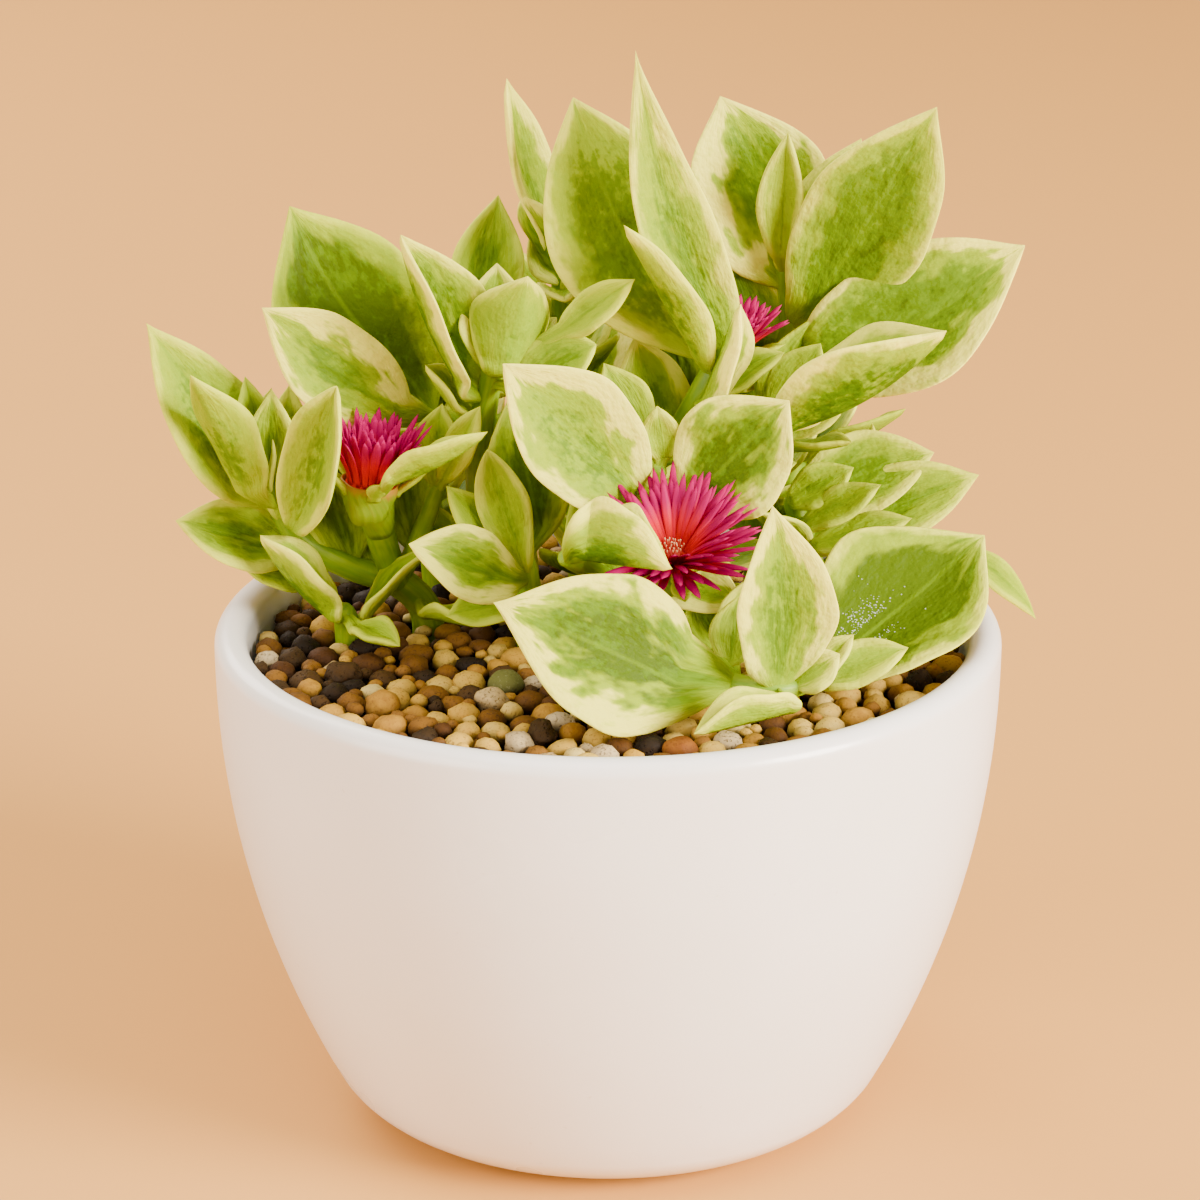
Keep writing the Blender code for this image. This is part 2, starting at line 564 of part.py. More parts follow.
def half_width(row, t):
    """Half of a blade's width at t from petiole to tip: an ovate outline that ends in a point."""
    peak = row["peak"]
    grow, taper = 1.75 * peak, 1.75 * (1 - peak)
    full = peak ** grow * (1 - peak) ** taper
    outline = t ** grow * (1 - t) ** taper / full
    petiole = PETIOLE_HALF_WIDTH * (1 - t)
    return max(row["wide"] / 2 * outline, petiole)


def blade_point(row, root, t, q):
    """A point of a leaf's middle surface: t from petiole to tip, q from one margin (-1) to the other."""
    chord = row["tip"] - row["base"]
    length = chord.length
    along = chord.normalized()
    face = (row["face"] - along * row["face"].dot(along)).normalized()
    side = along.cross(face)
    bow = 4 * t * (1 - t) * length
    point = row["base"] + chord * t - face * row["arch"] * bow + side * row["sway"] * bow
    half = half_width(row, t)
    opened = min(1.0, t / 0.2)
    cup = row["cup"] * opened
    point += side * q * half * math.cos(cup)
    point += face * half * math.sin(cup) * (0.6 * abs(q) + 0.4 * q * q)
    settle = max(0.0, 1 - t / BLADE_ROWS[1])
    return point + (root - row["base"]) * settle


def thin_sheet(name, rows, across, place, thickness, offset, collection):
    """A grid placed by a formula of its row and of -1 to 1 across, triangulated, then given its thickness."""
    bm = bmesh.new()
    bmesh.ops.create_grid(bm, x_segments=across, y_segments=len(rows) - 1, size=1.0)
    for vert in bm.verts:
        step = round((vert.co.y + 1) / 2 * (len(rows) - 1))
        vert.co = place(rows[step], vert.co.x)
    bmesh.ops.remove_doubles(bm, verts=bm.verts, dist=0.0001)
    bmesh.ops.triangulate(bm, faces=bm.faces)
    sheet = mesh_object(name, bm, collection)
    thicken = sheet.modifiers.new("Thickness", "SOLIDIFY")
    thicken.thickness = thickness * MM
    thicken.offset = offset
    return bake(sheet)


def blade_object(name, row, stems, collection):
    """One leaf, grown from the nearest stem."""
    small = (row["tip"] - row["base"]).length < SMALL_BLADE_LENGTH
    rows = SMALL_BLADE_ROWS if small else BLADE_ROWS
    across = 4 if row["wide"] > BROAD_LEAF_WIDTH else 2
    root = nearest_on_stems(row["base"], stems)

    def place(t, q):
        return blade_point(row, root, t, q)

    return thin_sheet(name, rows, across, place, LEAF_THICKNESS, 0.0, collection)


def axis_frame(axis):
    """Two directions across an axis, and the axis itself."""
    up = Vector(axis).normalized()
    across = up.cross(Vector((0, 1, 0))).normalized()
    return across, up.cross(across), up


def turned_along(name, spec, points, collection, steps=8):
    """A turned solid stood on a bloom's axis, its half section measured from the bloom's centre."""
    item = bake(turn_profile(name, points, steps, collection))
    turn = Vector((0, 0, 1)).rotation_difference(Vector(spec["axis"]).normalized())
    bm = bmesh.new()
    bm.from_mesh(item.data)
    bmesh.ops.rotate(bm, cent=(0, 0, 0), matrix=turn.to_matrix(), verts=bm.verts)
    bmesh.ops.translate(bm, vec=Vector(spec["centre"]) * MM, verts=bm.verts)
    bm.to_mesh(item.data)
    bm.free()
    return item


def receptacle_object(name, spec, collection):
    """The green swelling below a bloom, with a flat top that the petals sit on."""
    top = -BLOOM_DISC_HEIGHT - TIGHT_GAP
    points = [(0.0, top), (2.3, top), (2.7, top - 0.8), (2.2, top - 2.6), (1.2, top - 4.2), (0.0, top - 4.6)]
    return turned_along(name, spec, points, collection)


def calyx_lobe(name, spec, turn, collection):
    """One narrow green lobe that stands out below the petals."""
    across, deep, up = axis_frame(spec["axis"])
    out = across * math.cos(turn) + deep * math.sin(turn)
    rise = math.radians(spec["lobe_rise"])
    start = Vector(spec["centre"]) + up * (-BLOOM_DISC_HEIGHT - 1.6) + out * 1.2
    along = out * math.cos(rise) + up * math.sin(rise)
    face = up * math.cos(rise) - out * math.sin(rise)
    row = leaf(start, start + along * LOBE_LENGTH, face, LOBE_WIDTH, cup=12)

    def place(t, q):
        return blade_point(row, row["base"], t, q)

    return thin_sheet(name, LOBE_ROWS, 2, place, LOBE_THICKNESS, -1.0, collection)


def petal_object(name, spec, turn, rise_degrees, collection):
    """One narrow petal: a strip that rises from the disc and spreads."""
    across, deep, up = axis_frame(spec["axis"])
    out = across * math.cos(turn) + deep * math.sin(turn)
    side = up.cross(out)
    rise = math.radians(rise_degrees)
    reach, lift = spec["length"] * math.cos(rise), spec["length"] * math.sin(rise)

    def place(row, q):
        t, half = row
        middle = out * (PETAL_ROOT_RADIUS + reach * t ** 1.2)
        middle += up * (lift * t ** 0.85 - BLOOM_DISC_HEIGHT / 2)
        return Vector(spec["centre"]) + middle + side * half * q

    return thin_sheet(name, PETAL_ROWS, 1, place, PETAL_THICKNESS, 0.0, collection)


def join_repeats(name, body, others, material):
    """Join a node's repeats with its body by one Boolean union, then take the loose pieces away."""
    union = body.modifiers.new("Join", "BOOLEAN")
    union.operation = "UNION"
    union.operand_type = "COLLECTION"
    union.collection = others
    union.solver = "EXACT"
    bake(body)
    for item in list(others.objects):
        bpy.data.objects.remove(item, do_unlink=True)
    bpy.data.collections.remove(others)
    body.name = name
    body.data.name = name
    body.data.materials.clear()
    body.data.materials.append(material)
    for face in body.data.polygons:
        face.material_index = 0
    return body


def make_shoot(name, shoot, collection, materials):
    """One leafy stem with its leaves, and with the receptacle and calyx of its bloom."""
    others = part_collection(f"{name}_repeats")
    body = stem_object(f"{name}_stem_0", shoot["stems"][0], collection)
    for number, points in enumerate(shoot["stems"][1:], 1):
        stem_object(f"{name}_stem_{number}", points, others)
    for number, row in enumerate(shoot["leaves"]):
        blade_object(f"{name}_leaf_{number}", row, shoot["stems"], others)
    if "bloom" in shoot:
        spec = BLOOMS[shoot["bloom"]]
        receptacle_object(f"{name}_receptacle", spec, others)
        for number in range(LOBE_COUNT):
            calyx_lobe(f"{name}_lobe_{number}", spec, number * math.tau / LOBE_COUNT + 0.5, others)
    return join_repeats(name, body, others, materials["variegated_leaf"])


def make_petals(name, spec, collection, materials):
    """A bloom's whorl: a small disc with two layers of narrow petals."""
    others = part_collection(f"{name}_repeats")
    low, flat = -BLOOM_DISC_HEIGHT, BLOOM_DISC_RADIUS - BLOOM_DISC_EDGE
    points = [(0.0, 0.0), (flat, 0.0), (BLOOM_DISC_RADIUS, low / 2), (flat, low), (0.0, low)]
    body = turned_along(f"{name}_disc", spec, points, collection, steps=14)
    draw = random.Random(name)
    for layer, rise in enumerate(spec["rises"]):
        for number in range(spec["petals"]):
            turn = (number + layer / 2) * math.tau / spec["petals"] + draw.uniform(-0.05, 0.05)
            petal_object(f"{name}_petal_{layer}_{number}", spec, turn, rise + draw.uniform(-4, 4), others)
    return join_repeats(name, body, others, materials["magenta_petal"])


def make_stamens(name, spec, collection, materials):
    """A bloom's centre: a button with short filaments standing on it."""
    others = part_collection(f"{name}_repeats")
    low, high = TIGHT_GAP, TIGHT_GAP + BUTTON_HEIGHT
    points = [(0.0, high), (BUTTON_RADIUS - 0.4, high), (BUTTON_RADIUS, low + 0.2), (BUTTON_RADIUS - 0.3, low),
              (0.0, low)]
    body = turned_along(f"{name}_button", spec, points, collection)
    across, deep, up = axis_frame(spec["axis"])
    turn_up = Vector((0, 0, 1)).rotation_difference(up).to_matrix()
    for number in range(FILAMENT_COUNT):
        turn = number * GOLDEN_TURN
        spread = FILAMENT_SPREAD * math.sqrt(number)
        bm = bmesh.new()
        bmesh.ops.create_cone(bm, cap_ends=True, segments=4, radius1=FILAMENT_RADII[0],
                              radius2=FILAMENT_RADII[1], depth=FILAMENT_LENGTH)
        bmesh.ops.rotate(bm, cent=(0, 0, 0), matrix=turn_up, verts=bm.verts)
        place = across * math.cos(turn) * spread + deep * math.sin(turn) * spread + up * (high + 0.55)
        bmesh.ops.translate(bm, vec=Vector(spec["centre"]) + place, verts=bm.verts)
        mesh_object(f"{name}_filament_{number}", bm, others)
    return join_repeats(name, body, others, materials["cream_stamen"])


SHOOTS = {
    "left_shoot": {"stems": LEFT_STEMS, "leaves": LEFT_LEAVES, "bloom": "left"},
    "low_left_shoot": {"stems": LOW_LEFT_STEMS, "leaves": LOW_LEFT_LEAVES},
    "upper_left_shoot": {"stems": UPPER_LEFT_STEMS, "leaves": UPPER_LEFT_LEAVES},
    "left_centre_shoot": {"stems": LEFT_CENTRE_STEMS, "leaves": LEFT_CENTRE_LEAVES},
    "centre_shoot": {"stems": CENTRE_STEMS, "leaves": CENTRE_LEAVES, "bloom": "front"},
    "top_shoot": {"stems": TOP_STEMS, "leaves": TOP_LEAVES, "bloom": "top"},
    "top_right_shoot": {"stems": TOP_RIGHT_STEMS, "leaves": TOP_RIGHT_LEAVES},
    "right_shoot": {"stems": RIGHT_STEMS, "leaves": RIGHT_LEAVES},
    "front_shoot": {"stems": FRONT_STEMS, "leaves": FRONT_LEAVES},
    "back_left_shoot": {"stems": BACK_LEFT_STEMS, "leaves": back_pairs(BACK_LEFT_STEMS[0], 3, 0.9)},
    "back_middle_shoot": {"stems": BACK_MIDDLE_STEMS,
                          "leaves": BACK_MIDDLE_LEAVES + back_pairs(BACK_MIDDLE_STEMS[0], 5, 1.2)},
    "back_right_shoot": {"stems": BACK_RIGHT_STEMS, "leaves": back_pairs(BACK_RIGHT_STEMS[0], 8, 0.7)},
}


def main():
    """Build every piece of the potted plant."""
    clear_scene()
    collection = part_collection(COLLECTION)
    cutters = cutter_collection()
    materials = make_materials()
    make_pot(collection, materials)
    make_bed(collection, cutters, materials, SHOOTS)
    make_stones(collection, materials)
    for name, shoot in SHOOTS.items():
        make_shoot(name, shoot, collection, materials)
    for name, spec in BLOOMS.items():
        make_petals(f"{name}_bloom_petals", spec, collection, materials)
        make_stamens(f"{name}_bloom_stamens", spec, collection, materials)


main()
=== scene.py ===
import math
import random

import bmesh
import bpy
from mathutils import Matrix, Vector, noise


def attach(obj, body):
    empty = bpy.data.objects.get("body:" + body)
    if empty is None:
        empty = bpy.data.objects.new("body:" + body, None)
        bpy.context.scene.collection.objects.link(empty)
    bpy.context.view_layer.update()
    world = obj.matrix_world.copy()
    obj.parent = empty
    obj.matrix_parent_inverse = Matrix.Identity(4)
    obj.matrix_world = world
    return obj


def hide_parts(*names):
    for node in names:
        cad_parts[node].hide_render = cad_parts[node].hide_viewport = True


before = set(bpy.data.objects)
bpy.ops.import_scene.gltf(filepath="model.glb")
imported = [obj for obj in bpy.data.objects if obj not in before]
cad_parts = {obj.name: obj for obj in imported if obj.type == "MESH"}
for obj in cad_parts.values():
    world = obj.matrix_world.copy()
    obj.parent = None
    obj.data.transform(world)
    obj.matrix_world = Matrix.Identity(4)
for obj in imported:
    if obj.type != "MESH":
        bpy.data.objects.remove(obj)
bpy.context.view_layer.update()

# The looks of the potted baby sunrose, laid out as an add-on and run as a script.
# The tables of the plant are in millimetres. They follow the plan of the part's own source, with some leaves
# and the front bloom set a little closer to the photograph.

bl_info = {
    "name": "Potted Baby Sunrose",
    "version": (1, 0, 0),
    "blender": (4, 5, 0),
    "location": "3D View > Sidebar > Sunrose",
    "description": "A variegated trailing succulent with magenta blooms in a white bowl pot of grit",
    "category": "Object",
}

MM = 0.001
TIGHT_GAP = 0.3
PHOTO_SIZE = 1200
SENSOR_WIDTH = 36.0
# How far the middle of the photograph lies from the camera's axis, in the photograph's pixels.
SHIFT_RIGHT = -8
SHIFT_UP = 18.4

# The pot's inside, the curve of its belly and the bed of grit, in millimetres, and the points of its curves.
BED_LEVEL = 54.2
FLOOR_HEIGHT = 5.0
FLOOR_CORNER = 6.0
FOOT_ROUND_HEIGHT = 6.0
BELLY_TAPER = 0.345
BELLY_POWER = 2.13
STEM_FOOT_HEIGHT = 49.0
INSIDE_LEVELS = (9, 14, 20, 26, 33, 40, 46, 51, 54.5)
WALL_STEPS = 26
LIP_STEPS = 16
FOOT_STEPS = 12

# How the grit is strewn: lengths in millimetres, and shares of a grain's radius or of all the grains.
SEARCH_STEP = 5
GRAIN_TRIES = 60
GRAIN_CLOSENESS = 0.9
STONE_CLOSENESS = 0.92
STEM_CLOSENESS = 0.7
LOWER_GRAINS = 420
FILL_DEPTH = 2.2
FILL_TURNS = 96
GRAIN_RISE = 0.5
GRAIN_SINK = 0.45
GRAIN_UNEVEN = 0.3
GRAIN_WALL_GAP = 0.15
GRAIN_SQUASH = 0.84
GRAIN_LUMPS = 0.16
ROUGH_LUMPS = 0.3
ROUGH_KINDS = ("lava", "pumice")
LOWER_DEPTH = 1.7
LOWER_WALL_GAP = 2.2
LOWER_RADII = (1.0, 1.6)
LOWER_SQUASH = 0.8
LOWER_BROWN = 0.6

# The random draws start from these. A grain's own number shapes it, and each group counts from its own start.
PLACE_SEED = 23
KIND_SEED = 5
LOWER_SEED = 9
DEW_SEED = 31
TOP_NUMBERS = 1
STONE_NUMBERS = 300
LOWER_NUMBERS = 2000
DEW_NUMBERS = 5000

# The surface coordinates that the points of each kind of piece carry for its material.
LEAF_LAYERS = ("leaf_place", "leaf_edge", "leaf_kind")
PETAL_LAYERS = ("petal_place",)
GRAIN_LAYERS = ("grain_place", "grain_kind")


def linear(hex_colour):
    """An sRGB colour such as #E8DCC0 as the linear red, green and blue that the shaders take."""
    channels = [int(hex_colour[place:place + 2], 16) / 255 for place in (1, 3, 5)]
    return tuple(c / 12.92 if c <= 0.04045 else ((c + 0.055) / 1.055) ** 2.4 for c in channels)


def colour_setting(name, description, hex_colour):
    """A colour that a user may change."""
    return bpy.props.FloatVectorProperty(name=name, description=description, subtype="COLOR", size=3,
                                         min=0.0, max=1.0, default=linear(hex_colour))


def length_setting(name, description, millimetres):
    """A length that a user may change, kept in metres."""
    return bpy.props.FloatProperty(name=name, description=description, default=millimetres * MM,
                                   min=0.0, unit="LENGTH", precision=4)


def count_setting(name, description, number):
    """A number of things that a user may change."""
    return bpy.props.IntProperty(name=name, description=description, default=number, min=1)


class SunrosePotSettings(bpy.types.PropertyGroup):
    """Sizes and colour of the pot."""

    rim_radius: length_setting("Rim radius", "Outer radius at the top", 45.0)
    height: length_setting("Height", "From the foot to the top of the lip", 58.7)
    lip_radius: length_setting("Lip radius", "Roundness of the lip, half the wall's thickness", 1.85)
    foot_radius: length_setting("Foot radius", "Radius of the flat foot", 20.0)
    turns: count_setting("Turning steps", "Faces round the pot", 144)
    glaze: colour_setting("Glaze", "Colour of the fired white glaze", "#F4F1EE")


class SunroseGritSettings(bpy.types.PropertyGroup):
    """Sizes and colours of the grit."""

    level: length_setting("Level", "Height of the grit's surface", BED_LEVEL)
    smallest: length_setting("Smallest grain", "Radius of the smallest grains", 0.75)
    largest: length_setting("Largest grain", "Radius of the largest grains", 2.0)
    grains: count_setting("Grains", "How many grains are dropped, of which those with room stay", 1100)
    tan: colour_setting("Tan grain", "Fired loam, its common colour", "#C89830")
    brown: colour_setting("Brown grain", "Moist loam", "#785014")
    lava: colour_setting("Lava grain", "Dark crushed lava", "#38260E")
    pumice: colour_setting("Pumice grain", "Pale pumice", "#C4A870")


class SunroseLeafSettings(bpy.types.PropertyGroup):
    """Sizes and colours of the leaves and stems."""

    thickness: length_setting("Leaf thickness", "At the midrib, half way along", 1.15)
    margin: length_setting("Cream margin", "Usual width of the cream margin", 1.5)
    deep_green: colour_setting("Deep green", "The middle of a shaded leaf", "#385A00")
    fresh_green: colour_setting("Fresh green", "The middle of a young leaf", "#547600")
    pale_green: colour_setting("Pale green", "Between green and cream", "#9CB200")
    cream: colour_setting("Cream", "The leaf's margin", "#FAF064")
    stem_green: colour_setting("Stem green", "Young stems", "#789C0C")


class SunroseBloomSettings(bpy.types.PropertyGroup):
    """Colours of the blooms."""

    magenta: colour_setting("Magenta", "The outer half of a petal", "#8E0046")
    red: colour_setting("Red", "The inner half of a petal", "#B40020")
    orange: colour_setting("Orange", "The root of a petal and the middle", "#CC2A18")
    cream: colour_setting("Stamen cream", "Tips of the stamens", "#F6C890")
    petal_layers: count_setting("Petal layers", "Layers of petals in a bloom", 4)


class SunroseStageSettings(bpy.types.PropertyGroup):
    """Camera, backdrop and lights."""

    lens: bpy.props.FloatProperty(name="Lens", description="Focal length in millimetres on a 36 mm frame",
                                  default=130.9, min=20.0)
    distance: length_setting("Distance", "Camera to the middle of the pot's rim", 500.0)
    elevation: bpy.props.FloatProperty(name="Elevation", description="How far the camera looks down",
                                       default=math.radians(19.94), subtype="ANGLE", unit="ROTATION")
    backdrop: colour_setting("Backdrop", "Plain pale floor and wall", "#D29A50")
    light: colour_setting("Light", "Colour of the soft lamps", "#FFF6EA")


def leaf(base, tip, face, wide, looks=None, cup=15.0, arch=0.0, sway=0.0, peak=0.5):
    """One listed leaf: where it starts and ends, the way its upper side faces, and its width.

    Looks are the cream margin's usual width in millimetres, how deep the green is, with 0 for pale and 1 for
    deep and some leaves past either, where past 1 is painted shade, and on which half the cream is wider,
    from
    -1 to 1. A leaf without them gets a seeded draw. Cup lifts its halves by some degrees, arch bows the
    midrib back, sway bends it sideways and peak is where it is widest.
    """
    return {"base": Vector(base), "tip": Vector(tip), "face": Vector(face), "wide": wide, "looks": looks,
            "cup": math.radians(cup), "arch": arch, "sway": sway, "peak": peak}


# A stem is a list of points of its middle line, each x, y, z and its radius there.
LEFT_STEMS = [
    [(-21, 10, STEM_FOOT_HEIGHT, 1.9), (-21.3, 9.9, 56, 1.9), (-24.5, 9, 60, 1.8),
     (-30, 8.5, 62, 1.5), (-35.5, 8, 65.5, 1.5), (-38, 7, 70, 1.3)],
    [(-24.3, 9, 59.5, 1.6), (-26, 6, 66, 1.7), (-26.8, 2, 72.4, 2.1)],
    [(-24.3, 9, 60, 1.1), (-21.5, 7, 67, 1.1), (-19.5, 5, 73, 1.0)],
]
LEFT_LEAVES = [
    leaf((-39.5, 7, 70), (-52, 3, 93), (0.35, -0.85, 0.4), 12, (0.6, 0.25, 0.2), cup=18, peak=0.42),
    leaf((-39, 9, 69), (-49.5, 8.5, 82), (0.3, -0.8, 0.5), 8, (0.5, 0.2, 0.0), cup=20),
    leaf((-40, 2.5, 71), (-46.5, -4, 89), (0.35, 0.8, 0.45), 8.5, (0.4, 0.2, 0.0), cup=30),
    leaf((-39.4, 6, 70.4), (-38.3, 6, 84.5), (-0.5, -0.8, 0.3), 6.5, (0.8, -0.1, 0.3), cup=45),
    leaf((-37, 9, 68), (-37, 12, 82), (0.2, -0.95, 0.2), 8, (0.6, 0.2, 0.0), cup=25),
    leaf((-36.8, 3.2, 66.9), (-30, -7.5, 88.8), (-0.55, -0.8, 0.1), 10.5, (0.6, 0.15, 0.3),
         cup=34, sway=0.06, peak=0.6),
    leaf((-36, 8, 63.5), (-49.5, 3, 69.5), (0.1, -0.75, 0.65), 9.5, (0.7, 0.7, -0.2), cup=20),
    leaf((-36, 10, 66), (-43, 19, 80), (0.3, -0.5, 0.8), 9, cup=25),
    leaf((-26.2, -5, 76.2), (-13.3, -8.8, 83.9), (0.0, 0.2, 0.97), 6.5, (0.5, 0.25, 0.0),
         cup=45, arch=0.05),
    leaf((-19.8, 4.5, 73), (-18.9, 6, 82.6), (-0.3, -0.9, 0.3), 6.5, (0.5, 0.5, 0.0), cup=25),
    leaf((-19, 4, 73.5), (-14.4, 0.5, 84), (-0.1, -0.85, 0.5), 4.5, (0.5, 0.3, 0.0), cup=20),
    leaf((-22, 5.5, 57.3), (-14.6, 0, 57.8), (0.1, 0.2, 0.97), 5.5, (0.5, 0.3, 0.0), cup=40),
]

LOW_LEFT_STEMS = [
    [(-30, 4.5, STEM_FOOT_HEIGHT, 1.5), (-30.1, 4, 56, 1.5), (-30.4, 2.5, 58.5, 1.3)],
]
LOW_LEFT_LEAVES = [
    leaf((-30.5, 2.3, 57), (-39.6, 0, 68.8), (0.75, 0.1, 0.65), 10.5, (0.8, 0.3, 0.2), cup=45, arch=0.06),
    leaf((-29.5, 1, 57.2), (-23.6, -5.5, 57.3), (0.0, -0.3, 0.95), 5, (0.4, 0.4, 0.0), cup=35),
]

UPPER_LEFT_STEMS = [
    [(-14.5, 14, STEM_FOOT_HEIGHT, 1.9), (-14.5, 13, 57, 1.9), (-14.8, 10, 69.7, 1.7),
     (-14.5, 6.5, 79, 1.6), (-13, 4.3, 87.5, 1.2)],
    [(-14.7, 8, 76, 1.3), (-16.5, 9.5, 78.5, 1.2), (-20, 10, 80, 1.0)],
]
UPPER_LEFT_LEAVES = [
    leaf((-19.5, 11, 81), (-36.2, 12, 104.2), (0.1, -0.92, 0.35), 18, (0.4, 1.05, 0.6), cup=12, sway=-0.07),
    leaf((-22.3, 8, 79), (-38.8, 1.5, 95.2), (-0.3, -0.75, 0.55), 11, (1.6, 0.35, 0.3), cup=12),
    leaf((-15, 4.5, 83), (-23, -1, 104.3), (0.8, -0.55, 0.2), 14, (0.9, 0.5, -0.2), cup=55, arch=0.06),
    leaf((-16, 8.5, 87), (-12.5, 14, 105), (0.25, -0.9, 0.3), 9, (0.4, 0.8, 0.0), cup=20),
    leaf((-12.2, 1.5, 86), (-8.9, -1.5, 99.7), (-0.15, 0.9, 0.4), 11, (0.7, -0.3, 0.0), cup=35),
    leaf((-12.9, 4.5, 86.5), (-12.5, 5.5, 99.3), (0.05, -0.9, 0.4), 10, (0.9, -0.1, 0.0), cup=35),
    leaf((-11.5, 2, 84.5), (-1.3, -1.5, 91.8), (-0.15, -0.75, 0.65), 9, (0.4, 0.4, 0.0), cup=18, peak=0.58),
    leaf((-6, 1.5, 91.5), (3, -2, 99.5), (-0.3, -0.85, 0.45), 5, (0.4, 0.5, 0.0), cup=20),
]

LEFT_CENTRE_STEMS = [
    [(-9, 4, STEM_FOOT_HEIGHT, 1.6), (-9, 3, 56, 1.6), (-9, 1, 62, 1.4), (-9.8, 0.5, 67, 1.1)],
]
LEFT_CENTRE_LEAVES = [
    leaf((-9.3, -1.5, 63), (-22.3, -9, 70.8), (0.05, -0.8, 0.6), 9, (1.3, 0.6, -0.2), cup=15),
    leaf((-11, 0.5, 65), (-18.3, -1, 75), (0.2, -0.75, 0.6), 5.5, (0.4, 0.6, 0.0), cup=15),
    leaf((-9, 0, 63), (-13.6, -1.5, 79.5), (-0.1, -0.95, 0.15), 6.5, (0.6, 0.3, 0.0), cup=20, peak=0.62),
    leaf((-10, 1.5, 60), (-18.5, -1.5, 59.5), (0.0, -0.6, 0.8), 5.5, (0.4, 0.5, 0.0)),
]

CENTRE_STEMS = [
    [(3, 7, STEM_FOOT_HEIGHT, 1.9), (3, 6, 58, 1.9), (3.5, 3, 66, 1.7), (4.7, -0.5, 73, 1.4),
     (5.6, -1.3, 77, 1.1)],
    [(3.2, 4.5, 61, 1.4), (5.5, -3.3, 64.2, 1.4), (7, -7.4, 66.1, 1.7)],
    [(3.1, 5, 60, 1.2), (-2, -4, 66, 1.2), (-4.6, -15.5, 71.4, 1.0)],
]
CENTRE_LEAVES = [
    leaf((4.5, -3, 73), (-11.6, -9, 91.8), (-0.05, -0.85, 0.5), 14.5, (1.9, 0.1, 0.5), cup=20, arch=0.03),
    leaf((-4.6, -17.3, 72.4), (7, -24, 73.1), (0.15, 0.5, 0.85), 14, (1.0, 0.15, 0.2), cup=72, peak=0.38),
    leaf((8.5, -2.8, 72.7), (20.2, -4.9, 86.3), (0.0, -0.85, 0.5), 14.5, (1.7, 0.9, 0.2), cup=12),
    leaf((4.5, 1, 79), (-0.5, 2, 88.6), (0.1, -0.9, 0.35), 6.5, (0.4, 0.4, 0.0)),
    leaf((6.3, -0.5, 77.5), (5.5, -2, 84.8), (0.0, -0.9, 0.35), 5, (0.6, 0.1, 0.0), cup=20),
    leaf((4.5, -1, 64), (15.3, -9, 63.3), (0.0, -0.6, 0.8), 7.5),
    leaf((2, 5, 62), (-7, 8, 71), (0.2, -0.7, 0.7), 8),
]

TOP_STEMS = [
    [(10, 15, STEM_FOOT_HEIGHT, 1.9), (9, 14, 57, 1.9), (6.5, 11, 66, 1.8), (6.8, 7, 75, 1.7),
     (10.4, 4.5, 83.6, 1.6), (13.3, 4.6, 89.5, 1.3)],
    [(10.2, 5, 81, 1.2), (13, 10, 82.5, 1.2), (14, 11.3, 85, 1.4)],
]
TOP_LEAVES = [
    leaf((10.8, 4.6, 88.5), (-3.9, 6, 118.2), (-0.1, -0.95, 0.3), 17.5, (0.8, 0.35, -0.2),
         cup=12, sway=-0.05, peak=0.52),
    leaf((13.5, 4, 89.8), (3, 0, 124.9), (0.2, -0.95, 0.1), 9.8, (0.9, 0.35, 0.5),
         cup=25, sway=-0.05, peak=0.36),
    leaf((11.7, 2, 87), (1.7, -7, 107), (0.55, 0.5, 0.6), 7.5, (0.6, 0.4, 0.0), cup=36),
    leaf((10.2, 2.3, 82), (14.8, -0.8, 96.3), (0.85, -0.35, 0.3), 8, (1.3, 0.4, -0.3), cup=45),
    leaf((7, 7.5, 76), (3, 6.5, 90.5), (0.1, -0.9, 0.3), 9),
]

TOP_RIGHT_STEMS = [
    [(18, 19, STEM_FOOT_HEIGHT, 1.9), (18, 18.5, 60, 1.9), (18.5, 17.5, 72, 1.8), (20, 17.5, 82, 1.6),
     (21, 17.5, 89, 1.4), (20.5, 17.5, 95, 1.1)],
    [(18.8, 17, 73, 1.3), (18, 9, 77.5, 1.2), (17.5, 3, 80, 1.0)],
]
TOP_RIGHT_LEAVES = [
    leaf((19.5, 18, 92.5), (12.8, 19.5, 115.2), (0.05, -0.95, 0.3), 17, (2.3, 0.4, -0.3), sway=0.06),
    leaf((20, 16, 95.5), (20.4, 13.5, 112.5), (-0.3, -0.9, 0.2), 6.5, (0.6, 0.2, 0.0), cup=35),
    leaf((22, 16, 88), (36.8, 8.5, 116.5), (0.1, -0.93, 0.35), 15.5, (0.8, 0.5, 0.1), cup=12),
    leaf((20, 18, 92), (29, 18, 110.6), (0.1, -0.9, 0.4), 9, (0.8, 0.4, 0.0)),
    leaf((20.5, 12.5, 84.5), (47.4, 10.5, 100), (-0.15, -0.8, 0.6), 18, (1.6, 0.5, 0.5), cup=20, sway=0.08),
    leaf((17.5, 2.5, 80), (37.5, -5, 94.4), (-0.3, 0.1, 0.95), 16, (1.0, 0.35, 0.0), cup=55, arch=0.08),
    leaf((18, 8, 79), (28.8, 8, 85.5), (0.0, -0.6, 0.8), 7),
]

